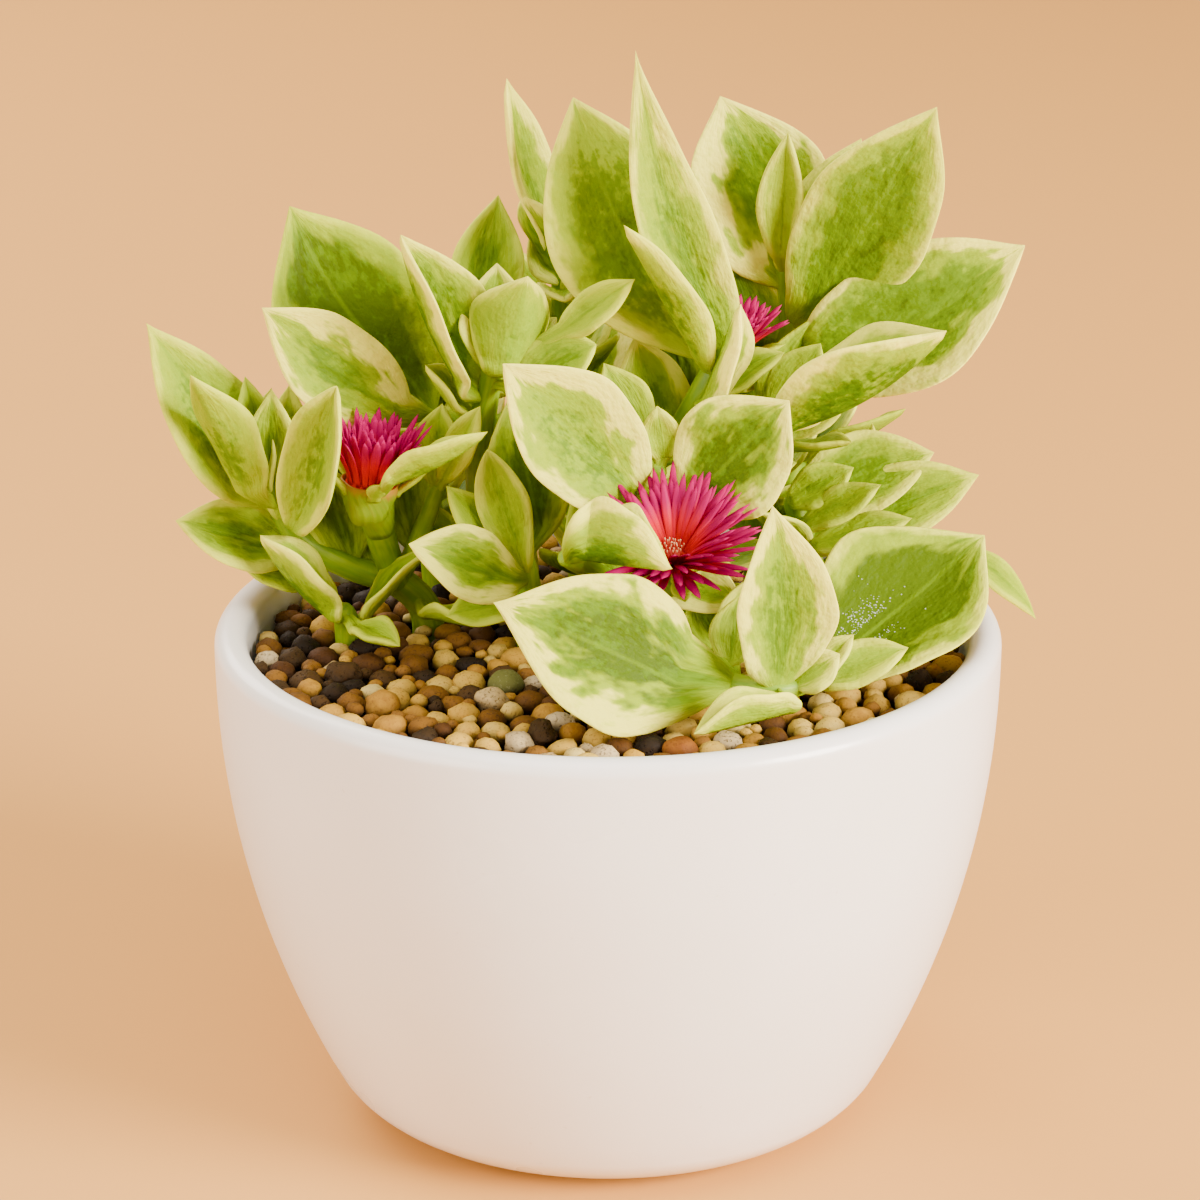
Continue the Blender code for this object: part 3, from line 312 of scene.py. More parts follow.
RIGHT_STEMS = [
    [(25, 12, STEM_FOOT_HEIGHT, 1.7), (24.5, 11, 57, 1.7), (23, 10, 64, 1.5), (21.5, 10, 69.5, 1.2)],
    [(24, 11, 59.5, 1.2), (31, 14.5, 63.5, 1.1), (37.5, 16.5, 63, 0.9)],
]
RIGHT_LEAVES = [
    leaf((21, 12, 69), (37.9, 13, 74.5), (0.0, -0.8, 0.6), 10.5, (0.8, 0.55, 0.0)),
    leaf((20.5, 9, 69.3), (28.3, 8, 74.3), (0.0, -0.8, 0.6), 5.5, (0.3, 0.6, 0.0)),
    leaf((22, 7, 67), (31.3, 5, 73.2), (0.0, -0.6, 0.8), 5, (0.4, 0.3, 0.0), cup=15),
    leaf((23.5, 10, 65), (43, 11, 72.4), (0.0, -0.8, 0.6), 10, (0.7, 0.5, 0.0)),
    leaf((22.5, 5, 65), (34.8, 3, 69.8), (0.0, -0.5, 0.85), 5.5, (0.4, 0.2, 0.0), cup=15),
    leaf((37.5, 16, 62.5), (50.2, 11, 54.6), (0.3, -0.3, 0.9), 5.5, (0.4, 0.5, 0.0), arch=-0.09),
]

FRONT_STEMS = [
    [(13.5, -8, STEM_FOOT_HEIGHT, 1.6), (13.4, -8.4, 56, 1.6), (12, -13.5, 58, 1.5),
     (14, -18.4, 57.6, 1.4), (18.5, -20, 57.5, 1.3), (22.5, -17.5, 57.6, 1.1)],
]
FRONT_LEAVES = [
    leaf((9.8, -23.5, 58.2), (-12.4, -27.5, 70.5), (0.1, -0.82, 0.56), 18, (2.3, 0.85, -0.35),
         cup=10, arch=-0.04, peak=0.42),
    leaf((18.5, -20, 57.5), (17.8, -22, 79.7), (0.25, -0.93, 0.25), 12.5, (1.7, 0.3, 0.0),
         cup=25, sway=0.03, peak=0.44),
    leaf((21.8, -26, 58), (9.2, -33.2, 57.5), (0.0, 0.3, 0.95), 8.2, (0.8, -0.1, 0.0), cup=50),
    leaf((20.5, -19, 57.5), (25.5, -20.5, 62), (-0.2, -0.85, 0.5), 5.5, (1.0, 0.0, 0.0), cup=20),
    leaf((22.5, -17.5, 57.5), (27.2, -17, 63), (-0.6, -0.75, 0.2), 4, (0.8, 0.1, 0.0), cup=30),
    leaf((22.5, -18, 57.3), (33.2, -18, 61.8), (0.0, -0.7, 0.7), 6, (0.6, 0.2, 0.0), cup=25),
    # This leaf's green past 1 is painted shade, for it lies in the plant's shadow.
    leaf((23, -15, 57.3), (42.6, -3, 69.8), (-0.35, -0.75, 0.55), 20, (0.8, 1.35, 0.2), cup=20, arch=0.05),
]

BACK_MIDDLE_STEMS = [
    [(-3, 25, STEM_FOOT_HEIGHT, 1.8), (-3, 24, 62, 1.8), (-4, 20, 76, 1.6), (-5, 17, 88, 1.4),
     (-5.5, 15.5, 96, 1.1)],
]
BACK_MIDDLE_LEAVES = [
    leaf((-5.3, 15, 97), (-11.4, 12, 119), (0.8, -0.55, 0.2), 8, cup=30, arch=0.05, sway=-0.04),
    leaf((-5, 15.5, 94), (-9, 15.5, 100), (0.1, -0.85, 0.5), 5.5),
    leaf((-5, 15, 92), (0, 12.5, 98.5), (-0.1, -0.85, 0.5), 6),
]

# The far side of the plant, which the photo doesn't show: pairs of leaves along a stem, by a rule.
BACK_LEFT_STEMS = [
    [(-20, 24, STEM_FOOT_HEIGHT, 1.8), (-21, 25, 60, 1.8), (-23, 26, 72, 1.5), (-24.5, 25, 82, 1.1)],
]
BACK_RIGHT_STEMS = [
    [(20, 28, STEM_FOOT_HEIGHT, 1.8), (21, 29, 60, 1.8), (23, 29, 72, 1.5), (25, 27, 83, 1.1)],
]
BACK_PAIR_STEPS = (0.42, 0.68, 0.95)


def way_round(across, deep, turn):
    """The direction at an angle in the plane of two others."""
    return across * math.cos(turn) + deep * math.sin(turn)


def route_point(route, share):
    """A point of a stem's middle line, share running from its foot to its end."""
    place = share * (len(route) - 1)
    step = min(int(place), len(route) - 2)
    start, end = Vector(route[step][:3]), Vector(route[step + 1][:3])
    return start.lerp(end, place - step)


def leaf_ways(out, up, rise):
    """Where a leaf that leans out from its stem points, and where its upper side faces."""
    return way_round(out, up, rise), up * math.cos(rise) - out * math.sin(rise)


def back_pairs(route, seed, first_turn, length=19.0, wide=11.0):
    """Opposite leaves at a few steps of a stem, each pair a quarter turn on, shorter towards the end."""
    draw = random.Random(seed)
    leaves = []
    for number, share in enumerate(BACK_PAIR_STEPS):
        root = route_point(route, share)
        for side in (0.0, math.pi):
            turn = first_turn + number * math.pi / 2 + side + draw.uniform(-0.2, 0.2)
            rise = math.radians(draw.uniform(38, 52) + 8 * number)
            out = Vector((math.cos(turn), math.sin(turn), 0.0))
            along, face = leaf_ways(out, Vector((0, 0, 1)), rise)
            size = (1.0 - 0.12 * number) * draw.uniform(0.9, 1.08)
            tip = root + along * length * size
            leaves.append(leaf(root + along * 1.5, tip, face, wide * size, cup=draw.uniform(12, 26)))
    return leaves


# A bloom: its middle, the way it faces, the petals of a layer and their length, how far the lowest and the
# highest layer rise in degrees, the rise of the cup's lobes, the disc's radius, and its painted light, a
# factor on the petals' colours that is highest for the left bloom, which lies in shade.
BLOOMS = {
    "left": {"centre": (-26.9, 0.8, 75.2), "axis": (0.12, -0.05, 0.99), "petals": 19, "length": 7.8,
             "rises": (64, 87), "lobe_rise": 44, "root": 2.6, "shade": 1.6},
    "front": {"centre": (7.2, -10.5, 69.8), "axis": (-0.03, -0.4, 0.917), "petals": 27, "length": 9.7,
              "rises": (27, 49), "lobe_rise": 6, "root": 2.0, "shade": 1.2},
    "top": {"centre": (14, 12, 87.9), "axis": (0.12, -0.05, 0.99), "petals": 16, "length": 6.3,
            "rises": (50, 73), "lobe_rise": 30, "root": 2.1, "shade": 1.3},
}

# The larger stones that stand out of the bed: where each lies, how flat it is and its finish.
STONES = {
    "pumice_stone": {"place": (-12.9, -16), "radius": 2.1, "squash": 0.85, "material": "pale_pumice"},
    "green_stone": {"place": (-11.5, -11), "radius": 2.2, "squash": 0.75, "material": "green_grey_stone"},
    "lava_stone_left": {"place": (-30, -7.5), "radius": 1.9, "squash": 0.8, "material": "dark_lava"},
    "lava_stone_front": {"place": (-7.2, -26), "radius": 1.8, "squash": 0.8, "material": "dark_lava"},
    "tan_stone_left": {"place": (-25, -17.5), "radius": 2.2, "squash": 0.8, "material": "tan_akadama"},
    "tan_stone_front": {"place": (-2.4, -36), "radius": 2.0, "squash": 0.85, "material": "tan_akadama"},
    "tan_stone_right": {"place": (34, -17), "radius": 2.1, "squash": 0.8, "material": "tan_akadama"},
    "orange_stone": {"place": (7.8, -30.5), "radius": 1.9, "squash": 0.75, "material": "orange_akadama"},
}

# The kind of grit that dresses each finish of a stone.
STONE_MATERIALS = {"pale_pumice": "pumice", "green_grey_stone": "green", "dark_lava": "lava",
                   "tan_akadama": "tan", "orange_akadama": "orange"}

# The leafy shoots by the names of their solids. A bloom sits on its shoot's second stem.
SHOOTS = {
    "left_shoot": {"stems": LEFT_STEMS, "leaves": LEFT_LEAVES, "bloom": "left"},
    "low_left_shoot": {"stems": LOW_LEFT_STEMS, "leaves": LOW_LEFT_LEAVES},
    "upper_left_shoot": {"stems": UPPER_LEFT_STEMS, "leaves": UPPER_LEFT_LEAVES},
    "left_centre_shoot": {"stems": LEFT_CENTRE_STEMS, "leaves": LEFT_CENTRE_LEAVES},
    "centre_shoot": {"stems": CENTRE_STEMS, "leaves": CENTRE_LEAVES, "bloom": "front"},
    "top_shoot": {"stems": TOP_STEMS, "leaves": TOP_LEAVES, "bloom": "top"},
    "top_right_shoot": {"stems": TOP_RIGHT_STEMS, "leaves": TOP_RIGHT_LEAVES},
    "right_shoot": {"stems": RIGHT_STEMS, "leaves": RIGHT_LEAVES},
    "front_shoot": {"stems": FRONT_STEMS, "leaves": FRONT_LEAVES},
    "back_left_shoot": {"stems": BACK_LEFT_STEMS, "leaves": back_pairs(BACK_LEFT_STEMS[0], 3, 0.9)},
    "back_middle_shoot": {"stems": BACK_MIDDLE_STEMS,
                          "leaves": BACK_MIDDLE_LEAVES + back_pairs(BACK_MIDDLE_STEMS[0], 5, 1.2)},
    "back_right_shoot": {"stems": BACK_RIGHT_STEMS, "leaves": back_pairs(BACK_RIGHT_STEMS[0], 8, 0.7)},
}

# The leaf that carries dew: its shoot, and its number in that shoot's table.
DEWY_LEAF = ("front_shoot", 6)
DEW_BEADS = 420
# The middle and the spread of the beads along and across the leaf, and the radii of the beads.
DEW_ALONG = (0.28, 0.08)
DEW_ACROSS = (-0.1, 0.17)
DEW_RADII = (0.05, 0.12)

# How finely leaves and stems are made, their small forms in millimetres and the order of their materials.
LEAF_ROWS = 34
LEAF_COLUMNS = 18
LEAF_WAVE = 0.5
STEM_SIDES = 16
STEM_STEPS = 7
LEAF_SKIN, STEM_SKIN, CUP_SKIN = range(3)
MIDRIB_DEPTH = 0.22
KEEL_HEIGHT = 0.3
PETIOLE_HALF_WIDTH = 0.85
PETIOLE_SHARE = 0.13

# The small forms of the blooms, in millimetres. Each stamen stands a turn in radians on from the one before.
BLOOM_DISC_HEIGHT = 1.0
PETAL_HALF_WIDTH = 0.54
PETAL_THICKNESS = 0.24
PETAL_STEPS = 9
PETAL_SIDES = 8
CUP_SIDES = 30
STAMEN_COUNT = 28
STAMEN_TURN = 2.4
LOBE_COUNT = 5
LOBE_LENGTH = 4.4
LOBE_WIDTH = 2.4

# Young leaves: a pair every few millimetres of a stem, kept clear of what is there already. Each rises by
# some degrees on a short stalk and is some millimetres long.
YOUNG_ROWS = 16
YOUNG_COLUMNS = 10
YOUNG_STEP = 5.5
YOUNG_CLEARANCE = 2.1
YOUNG_TRIES = 14
YOUNG_RISE = (12, 58)
YOUNG_LENGTH = (9, 16)
YOUNG_STALK = 1.8
# They grow behind the front leaves only, within the pot's width, and higher where they hang over its lip.
YOUNG_FRONT = 4
YOUNG_TIP_FRONT = 2
YOUNG_REACH = 43
YOUNG_LOWEST = 57.5
LIP_REACH = 38
LIP_CLEAR = 63
# The left shoot has its small leaves in the tables, so no young leaves are drawn for it.
FULL_SHOOTS = ("left_shoot",)
# Young leaves stay below this line, x and z in millimetres, so that the plant keeps its outline.
SKYLINE = [(-47, 72), (-40.5, 85), (-36, 92), (-24, 94), (-18, 97), (-11, 97), (-5.5, 101), (1.5, 104),
           (8.5, 99), (11, 92), (18, 92), (28, 89), (34, 83), (38.5, 72), (43, 62)]
# Small inner leaves that fill the plant where the photograph looks into it.
INNER_LEAVES = {
    "left_shoot": [
        leaf((-38.2, 5.5, 69.5), (-38, 2.8, 85.2), (-0.1, -0.95, 0.2), 7.5, cup=25),
        leaf((-36.8, 6.5, 66.5), (-36.2, 5.6, 85), (-0.1, -0.95, 0.2), 8, cup=18),
        leaf((-29.6, 9, 61.8), (-33, 9, 74.5), (0.1, -0.95, 0.25), 8, cup=18),
        leaf((-39, 6.5, 69), (-41.2, 4.8, 86.2), (0.25, -0.9, 0.3), 6.5, cup=28),
        leaf((-27, 10.5, 62.5), (-30.8, 11.5, 79.5), (0.1, -0.95, 0.2), 10.5, cup=18),
        leaf((-22.5, 8.5, 64), (-24.2, 9.8, 78), (0.1, -0.9, 0.3), 8, cup=20),
        leaf((-33, 9.5, 60.8), (-43, 6.5, 63.6), (0.1, -0.7, 0.7), 7.5, cup=15),
    ],
    "left_centre_shoot": [
        leaf((-7.5, 3.2, 66), (-11, 3.5, 84.5), (0.1, -0.95, 0.25), 10.5, cup=22),
        leaf((-8.5, 3, 60), (-15.5, 5, 70), (0.2, -0.8, 0.5), 7, cup=20),
    ],
    "centre_shoot": [
        leaf((1, 3, 62), (-3.5, 1.5, 74.5), (0.1, -0.9, 0.35), 8.5, cup=20),
        leaf((5, 2, 66), (10, 5, 77), (0.0, -0.9, 0.4), 7.5, cup=20),
    ],
    "top_shoot": [
        leaf((8, 9, 74), (6, 10.5, 93), (0.1, -0.95, 0.2), 11, cup=20),
        leaf((7, 9.5, 70), (1, 10.5, 83), (0.15, -0.9, 0.35), 9, cup=18),
    ],
    "front_shoot": [
        leaf((13.5, -9.8, 57.3), (9.5, -6.5, 63.5), (0.1, -0.9, 0.35), 7, cup=20),
        leaf((14, -9.5, 57), (18.5, -8.5, 67.5), (-0.1, -0.95, 0.3), 8, cup=20),
        leaf((13.6, -14.5, 57.8), (14.5, -11.5, 65.5), (0.0, -0.9, 0.4), 6, cup=25),
    ],
    "top_right_shoot": [
        leaf((18.5, 17, 80), (13, 19, 98.5), (0.05, -0.95, 0.2), 12, cup=16),
        leaf((20.5, 10.5, 77), (28, 10.5, 85), (-0.1, -0.9, 0.4), 6, cup=18),
        leaf((19, 15, 76), (24, 13, 91), (0.1, -0.9, 0.3), 9, cup=18),
    ],
}


class Sheets:
    """Points, faces, surface coordinates and material numbers of one piece while it is being made."""

    def __init__(self, layers):
        self.points = []
        self.faces = []
        self.slots = []
        self.layers = {name: [] for name in layers}

    def ring_strip(self, rings, values, slot=0, tip=None, tip_values=None):
        """Faces between closed rings of points, with a cap on the first and a point or a cap on the last."""
        size = len(rings[0])
        start = len(self.points)
        for ring, ring_values in zip(rings, values):
            self.points.extend(ring)
            for name in self.layers:
                self.layers[name].extend(row[name] for row in ring_values)
        for number in range(len(rings) - 1):
            low = start + number * size
            for place in range(size):
                turn = (place + 1) % size
                self.add_face((low + place, low + turn, low + size + turn, low + size + place), slot)
        self.add_face(tuple(reversed(range(start, start + size))), slot)
        last = start + (len(rings) - 1) * size
        if tip is None:
            self.add_face(tuple(range(last, last + size)), slot)
            return
        self.points.append(tip)
        for name in self.layers:
            self.layers[name].append(tip_values[name])
        point = len(self.points) - 1
        for place in range(size):
            self.add_face((last + place, last + (place + 1) % size, point), slot)

    def add_face(self, corners, slot=0):
        """One face with its material number."""
        self.faces.append(corners)
        self.slots.append(slot)

    def make(self, name, materials):
        """The finished piece, smooth shaded, in metres."""
        mesh = bpy.data.meshes.new(name)
        mesh.from_pydata([tuple(c * MM for c in point) for point in self.points], [], self.faces)
        for layer, rows in self.layers.items():
            attribute = mesh.attributes.new(layer, "FLOAT_VECTOR", "POINT")
            attribute.data.foreach_set("vector", [number for row in rows for number in row])
        for material in materials:
            mesh.materials.append(material)
        mesh.polygons.foreach_set("material_index", self.slots)
        mesh.polygons.foreach_set("use_smooth", [True] * len(self.faces))
        mesh.update()
        face_out(mesh)
        return put_in_scene(name, mesh)


def face_out(mesh):
    """Turn every face outwards."""
    bm = bmesh.new()
    bm.from_mesh(mesh)
    bmesh.ops.recalc_face_normals(bm, faces=bm.faces)
    bm.to_mesh(mesh)
    bm.free()


def put_in_scene(name, mesh):
    """An object for a mesh, linked into the scene."""
    piece = bpy.data.objects.new(name, mesh)
    bpy.context.scene.collection.objects.link(piece)
    return piece


def fit_out(piece, slot, *nodes):
    """Say which body a piece moves with and which solids it stands for. The slot, a finish's name, is not
    used.
    """
    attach(piece, "root")
    if nodes:
        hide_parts(*nodes)


def smooth_step(value, low, high):
    """0 below low, 1 above high and a smooth rise between."""
    share = min(max((value - low) / (high - low), 0.0), 1.0)
    return share * share * (3 - 2 * share)


def smooth_route(points, between):
    """Points of a smooth curve through a stem's own points, radius included."""
    rows = [Vector(point) for point in points]
    rows = [rows[0] * 2 - rows[1]] + rows + [rows[-1] * 2 - rows[-2]]
    route = []
    for a, b, c, d in zip(rows, rows[1:], rows[2:], rows[3:]):
        for step in range(between):
            t = step / between
            route.append(0.5 * (2 * b + (c - a) * t + (2 * a - 5 * b + 4 * c - d) * t ** 2
                                + (3 * b - a - 3 * c + d) * t ** 3))
    route.append(rows[-2])
    return route


def nearest_on_stems(place, stems):
    """The nearest point of any stem's middle line: where a leaf grows from."""
    best = None
    for stem in stems:
        route = smooth_route(stem, 2)
        for start, end in zip(route, route[1:]):
            start, end = Vector(start[:3]), Vector(end[:3])
            line = end - start
            share = min(max((place - start).dot(line) / line.length_squared, 0.0), 0.95)
            point = start + line * share
            if best is None or (point - place).length < (best - place).length:
                best = point
    return best


def half_width(row, t):
    """Half of a blade's width at t from petiole to tip: an ovate outline that ends in a point."""
    peak = row["peak"]
    grow, taper = 1.75 * peak, 1.75 * (1 - peak)
    full = peak ** grow * (1 - peak) ** taper
    outline = t ** grow * (1 - t) ** taper / full * (1 - 0.5 * t ** 9)
    return max(row["wide"] / 2 * outline, PETIOLE_HALF_WIDTH * (1 - t))


def blade_point(row, root, t, q, wave=0.0, seed=0.0):
    """A point of a leaf's middle surface: t from petiole (0) to tip (1), q from margin (-1) to margin (1)."""
    chord = row["tip"] - row["base"]
    length = chord.length
    along = chord.normalized()
    face = (row["face"] - along * row["face"].dot(along)).normalized()
    side = along.cross(face)
    bow = 4 * t * (1 - t) * length
    point = row["base"] + chord * t - face * row["arch"] * bow + side * row["sway"] * bow
    half = half_width(row, t) * (1 + 0.09 * noise.noise(Vector((t * 4, math.copysign(7, q) + seed, 0))))
    cup = row["cup"] * min(1.0, t / 0.2)
    point += side * q * half * math.cos(cup)
    point += face * half * math.sin(cup) * (0.6 * abs(q) + 0.4 * q * q)
    grown = smooth_step(t, PETIOLE_SHARE, 0.5) * (1 - t * t)
    point += face * wave * grown * abs(q) ** 1.5 * math.sin(9 * t + seed + (2.1 if q > 0 else 0.0))
    settle = max(0.0, 1 - t / PETIOLE_SHARE)
    return point + (root - row["base"]) * settle


def add_leaf(sheets, row, root, looks, seed, thick, rows=LEAF_ROWS, columns=LEAF_COLUMNS, wave=LEAF_WAVE):
    """One fleshy leaf: two skins over a bent middle surface, a groove along its midrib and a keel below."""
    length = (row["tip"] - row["base"]).length
    steps = [(number / rows) ** 1.15 * 0.992 for number in range(rows + 1)]
    across = [math.sin(math.pi / 2 * (2 * number / columns - 1)) for number in range(columns + 1)]
    grid = [[blade_point(row, root, t, q, wave, seed) for q in across] for t in steps]
    rings, values = [], []
    for i, t in enumerate(steps):
        half = half_width(row, t)
        body = thick * (1.25 - 0.25 * smooth_step(t, 0.0, 0.25)) * (1 - 0.45 * t ** 3)
        skins = []
        for j, q in enumerate(across):
            up = grid[min(i + 1, rows)][j] - grid[max(i - 1, 0)][j]
            out = grid[i][min(j + 1, columns)] - grid[i][max(j - 1, 0)]
            normal = up.cross(out).normalized()
            round_edge = math.sqrt(max(0.0, 1 - abs(q) ** 5))
            half_thick = body / 2 * round_edge * min(1.0, half / 0.9)
            rib = math.exp(-(q * half / 0.55) ** 2) * smooth_step(t, 0.02, 0.2) * (1 - t) ** 0.6
            skins.append((grid[i][j], normal, half_thick, rib))
        top = [p + n * (h - MIDRIB_DEPTH * rib * min(1.0, half / 2)) for p, n, h, rib in skins]
        under = [p - n * (h + KEEL_HEIGHT * rib * min(1.0, half / 2)) for p, n, h, rib in skins]
        rings.append(top + under[-2:0:-1])
        order = [(q, 0.0) for q in across] + [(q, 1.0) for q in across[-2:0:-1]]
        values.append([leaf_values(q * half, t * length, (1 - abs(q)) * half, t, below, seed, looks)
                       for q, below in order])
    tip = blade_point(row, root, 1.0, 0.0)
    tip_values = leaf_values(0.0, length, 0.0, 1.0, 0.0, seed, looks)
    sheets.ring_strip(rings, values, LEAF_SKIN, tip, tip_values)


def leaf_values(across, along, edge, share, below, seed, looks):
    """Surface coordinates of a leaf's point, for its material: all lengths in millimetres."""
    return {"leaf_place": (across, along, seed), "leaf_edge": (edge, share, below), "leaf_kind": looks}


def green_values(across, along, seed):
    """Surface coordinates of a stem's or cup's point, which has no cream margin."""
    return leaf_values(across, along, 5.0, 0.5, 0.0, seed, (0.0, 0.5, 0.0))


def ring_frames(route):
    """Two directions across a route at each point, turned as little as they can be."""
    points = [Vector(point[:3]) for point in route]
    across = None
    frames = []
    for number, point in enumerate(points):
        ahead = points[min(number + 1, len(points) - 1)] - points[max(number - 1, 0)]
        ahead.normalize()
        if across is None:
            across = ahead.cross(Vector((0.3, 1, 0.2))).normalized()
        across = (across - ahead * across.dot(ahead)).normalized()
        frames.append((point, across.copy(), ahead.cross(across)))
    return frames


def add_stem(sheets, points, seed):
    """One fleshy round stem with a rounded end."""
    route = smooth_route(points, STEM_STEPS)
    last, before = route[-1], route[-2]
    ahead = (Vector(last[:3]) - Vector(before[:3])).normalized()
    for turn in (0.5, 0.85):
        point = Vector(last[:3]) + ahead * last[3] * turn * 0.8
        route.append((*point, last[3] * math.sqrt(1 - turn * turn)))
    rings, values = [], []
    travelled = 0.0
    frames = ring_frames(route)
    for number, (middle, across, deep) in enumerate(frames):
        if number:
            travelled += (middle - frames[number - 1][0]).length
        ring, ring_values = [], []
        for place in range(STEM_SIDES):
            turn = place * math.tau / STEM_SIDES
            way = way_round(across, deep, turn)
            radius = route[number][3] * (1 + 0.05 * noise.noise(middle * 0.35 + way * 1.5))
            ring.append(middle + way * radius)
            ring_values.append(green_values(turn * radius, travelled, seed))
        rings.append(ring)
        values.append(ring_values)
    sheets.ring_strip(rings, values, STEM_SKIN)


def axis_frame(axis):
    """Two directions across an axis, and the axis itself."""
    up = Vector(axis).normalized()
    across = up.cross(Vector((0, 1, 0))).normalized()
    return across, up.cross(across), up


def even_turns(count):
    """Angles all round, evenly apart."""
    return [place * math.tau / count for place in range(count)]


def add_receptacle(sheets, spec, stem, seed, thick):
    """The green swelling that widens from the stem into a cup round the petals, with its narrow lobes."""
    across, deep, up = axis_frame(spec["axis"])
    centre = Vector(spec["centre"])
    low, high = Vector(stem[-2]), Vector(stem[-1])
    start = low.lerp(high, 0.3)
    root = spec["root"]
    outside = [(*start[:3], start[3] * 0.97), (*high[:3], high[3] * 1.15)]
    outside += [(*(centre - up * drop), root * wide)
                for drop, wide in ((3.4, 0.98), (1.9, 1.22), (0.9, 1.34), (0.25, 1.3))]
    route = smooth_route(outside, 5)
    turned = len(route) - 6
    route += [(*(centre - up * drop), root + wide) for drop, wide in ((0.1, 0.68), (0.2, 0.52), (1.25, 0.45))]
    route += [(*(centre - up * 1.3), root * 0.8), (*(centre - up * 1.31), 0.1)]
    ways = even_turns(CUP_SIDES)
    rings, values = [], []
    for number, point in enumerate(route):
        middle = Vector(point[:3])
        after, before = Vector(route[min(number + 1, turned)][:3]), Vector(route[max(number - 1, 0)][:3])
        ahead = (after - before).normalized()
        ahead = ahead.lerp(up, smooth_step(number, 4, turned)).normalized() if number < turned else up
        first = (across - ahead * across.dot(ahead)).normalized()
        second = ahead.cross(first)
        reach = [point[3] * (1 + 0.035 * math.cos(5 * way + 0.7)) for way in ways]
        rings.append([middle + way_round(first, second, way) * far for way, far in zip(ways, reach)])
        drop = -(centre - middle).length
        values.append([green_values(way * point[3], drop, seed) for way in ways])
    sheets.ring_strip(rings, values, CUP_SKIN)
    for number, turn in enumerate(even_turns(LOBE_COUNT)):
        out = way_round(across, deep, turn + 0.5)
        rise = math.radians(spec["lobe_rise"])
        start = centre - up * 1.2 + out * root * 1.2
        along, face = leaf_ways(out, up, rise)
        row = leaf(start, start + along * LOBE_LENGTH, face, LOBE_WIDTH, cup=12)
        add_leaf(sheets, row, row["base"], (0.25, 0.3, 0.0), seed + number, thick * 0.7, rows=10, columns=8,
                 wave=0.05)


def leaf_samples(row):
    """A few points of a leaf, for keeping new leaves clear of it."""
    return [blade_point(row, row["base"], t, q) for t in (0.3, 0.5, 0.7, 0.9, 1.0) for q in (-0.6, 0.0, 0.6)]


def taken_places():
    """Points of every stem, leaf and bloom that the tables give."""
    places = []
    for name, shoot in SHOOTS.items():
        for stem in shoot["stems"]:
            places += [Vector(point[:3]) for point in smooth_route(stem, 6)]
        for row in shoot["leaves"] + INNER_LEAVES.get(name, []):
            places += leaf_samples(row)
    for spec in BLOOMS.values():
        across, deep, up = axis_frame(spec["axis"])
        for turn in even_turns(12):
            out = way_round(across, deep, turn)
            places += [Vector(spec["centre"]) + out * reach + up * lift
                       for reach, lift in ((3, -2), (3, 2), (5, 4), (7, 5))]
    return places


def below_skyline(point):
    """Whether a point is under the plant's outline, over the pot and inside the box."""
    for (left, low), (right, high) in zip(SKYLINE, SKYLINE[1:]):
        if left <= point.x <= right:
            top = low + (high - low) * (point.x - left) / (right - left)
            out = math.hypot(point.x, point.y)
            lowest = YOUNG_LOWEST if out < LIP_REACH else LIP_CLEAR
            return lowest < point.z < top and out < YOUNG_REACH
    return False


def young_pairs(name, stems, taken):
    """Opposite pairs of young leaves up the stems behind the front of the plant, where there is room."""
    draw = random.Random(f"{name} young")
    leaves = []
    for stem in stems:
        route = [Vector(point[:3]) for point in smooth_route(stem, 8)]
        travelled, due, turn = 0.0, YOUNG_STEP, draw.uniform(0, math.pi)
        for start, end in zip(route, route[1:]):
            travelled += (end - start).length
            if travelled < due or end.y < YOUNG_FRONT:
                continue
            due = travelled + YOUNG_STEP
            turn += math.pi / 2
            for side in (0.0, math.pi):
                row = young_leaf(end, (end - start).normalized(), turn + side, draw, taken)
                if row:
                    leaves.append(row)
                    taken += leaf_samples(row)
    return leaves


def young_leaf(root, up, turn, draw, taken):
    """A young leaf that fits at a node, or None if every try would touch something."""
    for _ in range(YOUNG_TRIES):
        way = turn + draw.uniform(-0.6, 0.6)
        out = Vector((math.cos(way), math.sin(way), 0.0))
        rise = math.radians(draw.uniform(*YOUNG_RISE))
        along, face = leaf_ways(out, up, rise)
        along.normalize()
        length = draw.uniform(*YOUNG_LENGTH)
        wide = length * draw.uniform(0.55, 0.68)
        row = leaf(root + along * YOUNG_STALK, root + along * (YOUNG_STALK + length), face, wide,
                   cup=draw.uniform(12, 30), arch=draw.uniform(-0.05, 0.06))
        points = leaf_samples(row)
        # They run from foot to tip, three to a step, and the first steps may lie low and by the stem.
        if row["tip"].y < YOUNG_TIP_FRONT or not all(below_skyline(point) for point in points[6:]):
            continue
        if all((point - other).length > YOUNG_CLEARANCE for point in points[3:] for other in taken):
            return row
    return None


def leaf_seed(shoot, number):
    """The number that makes a leaf's patches and waves its own."""
    return random.Random(f"{shoot} {number}").uniform(0, 90)


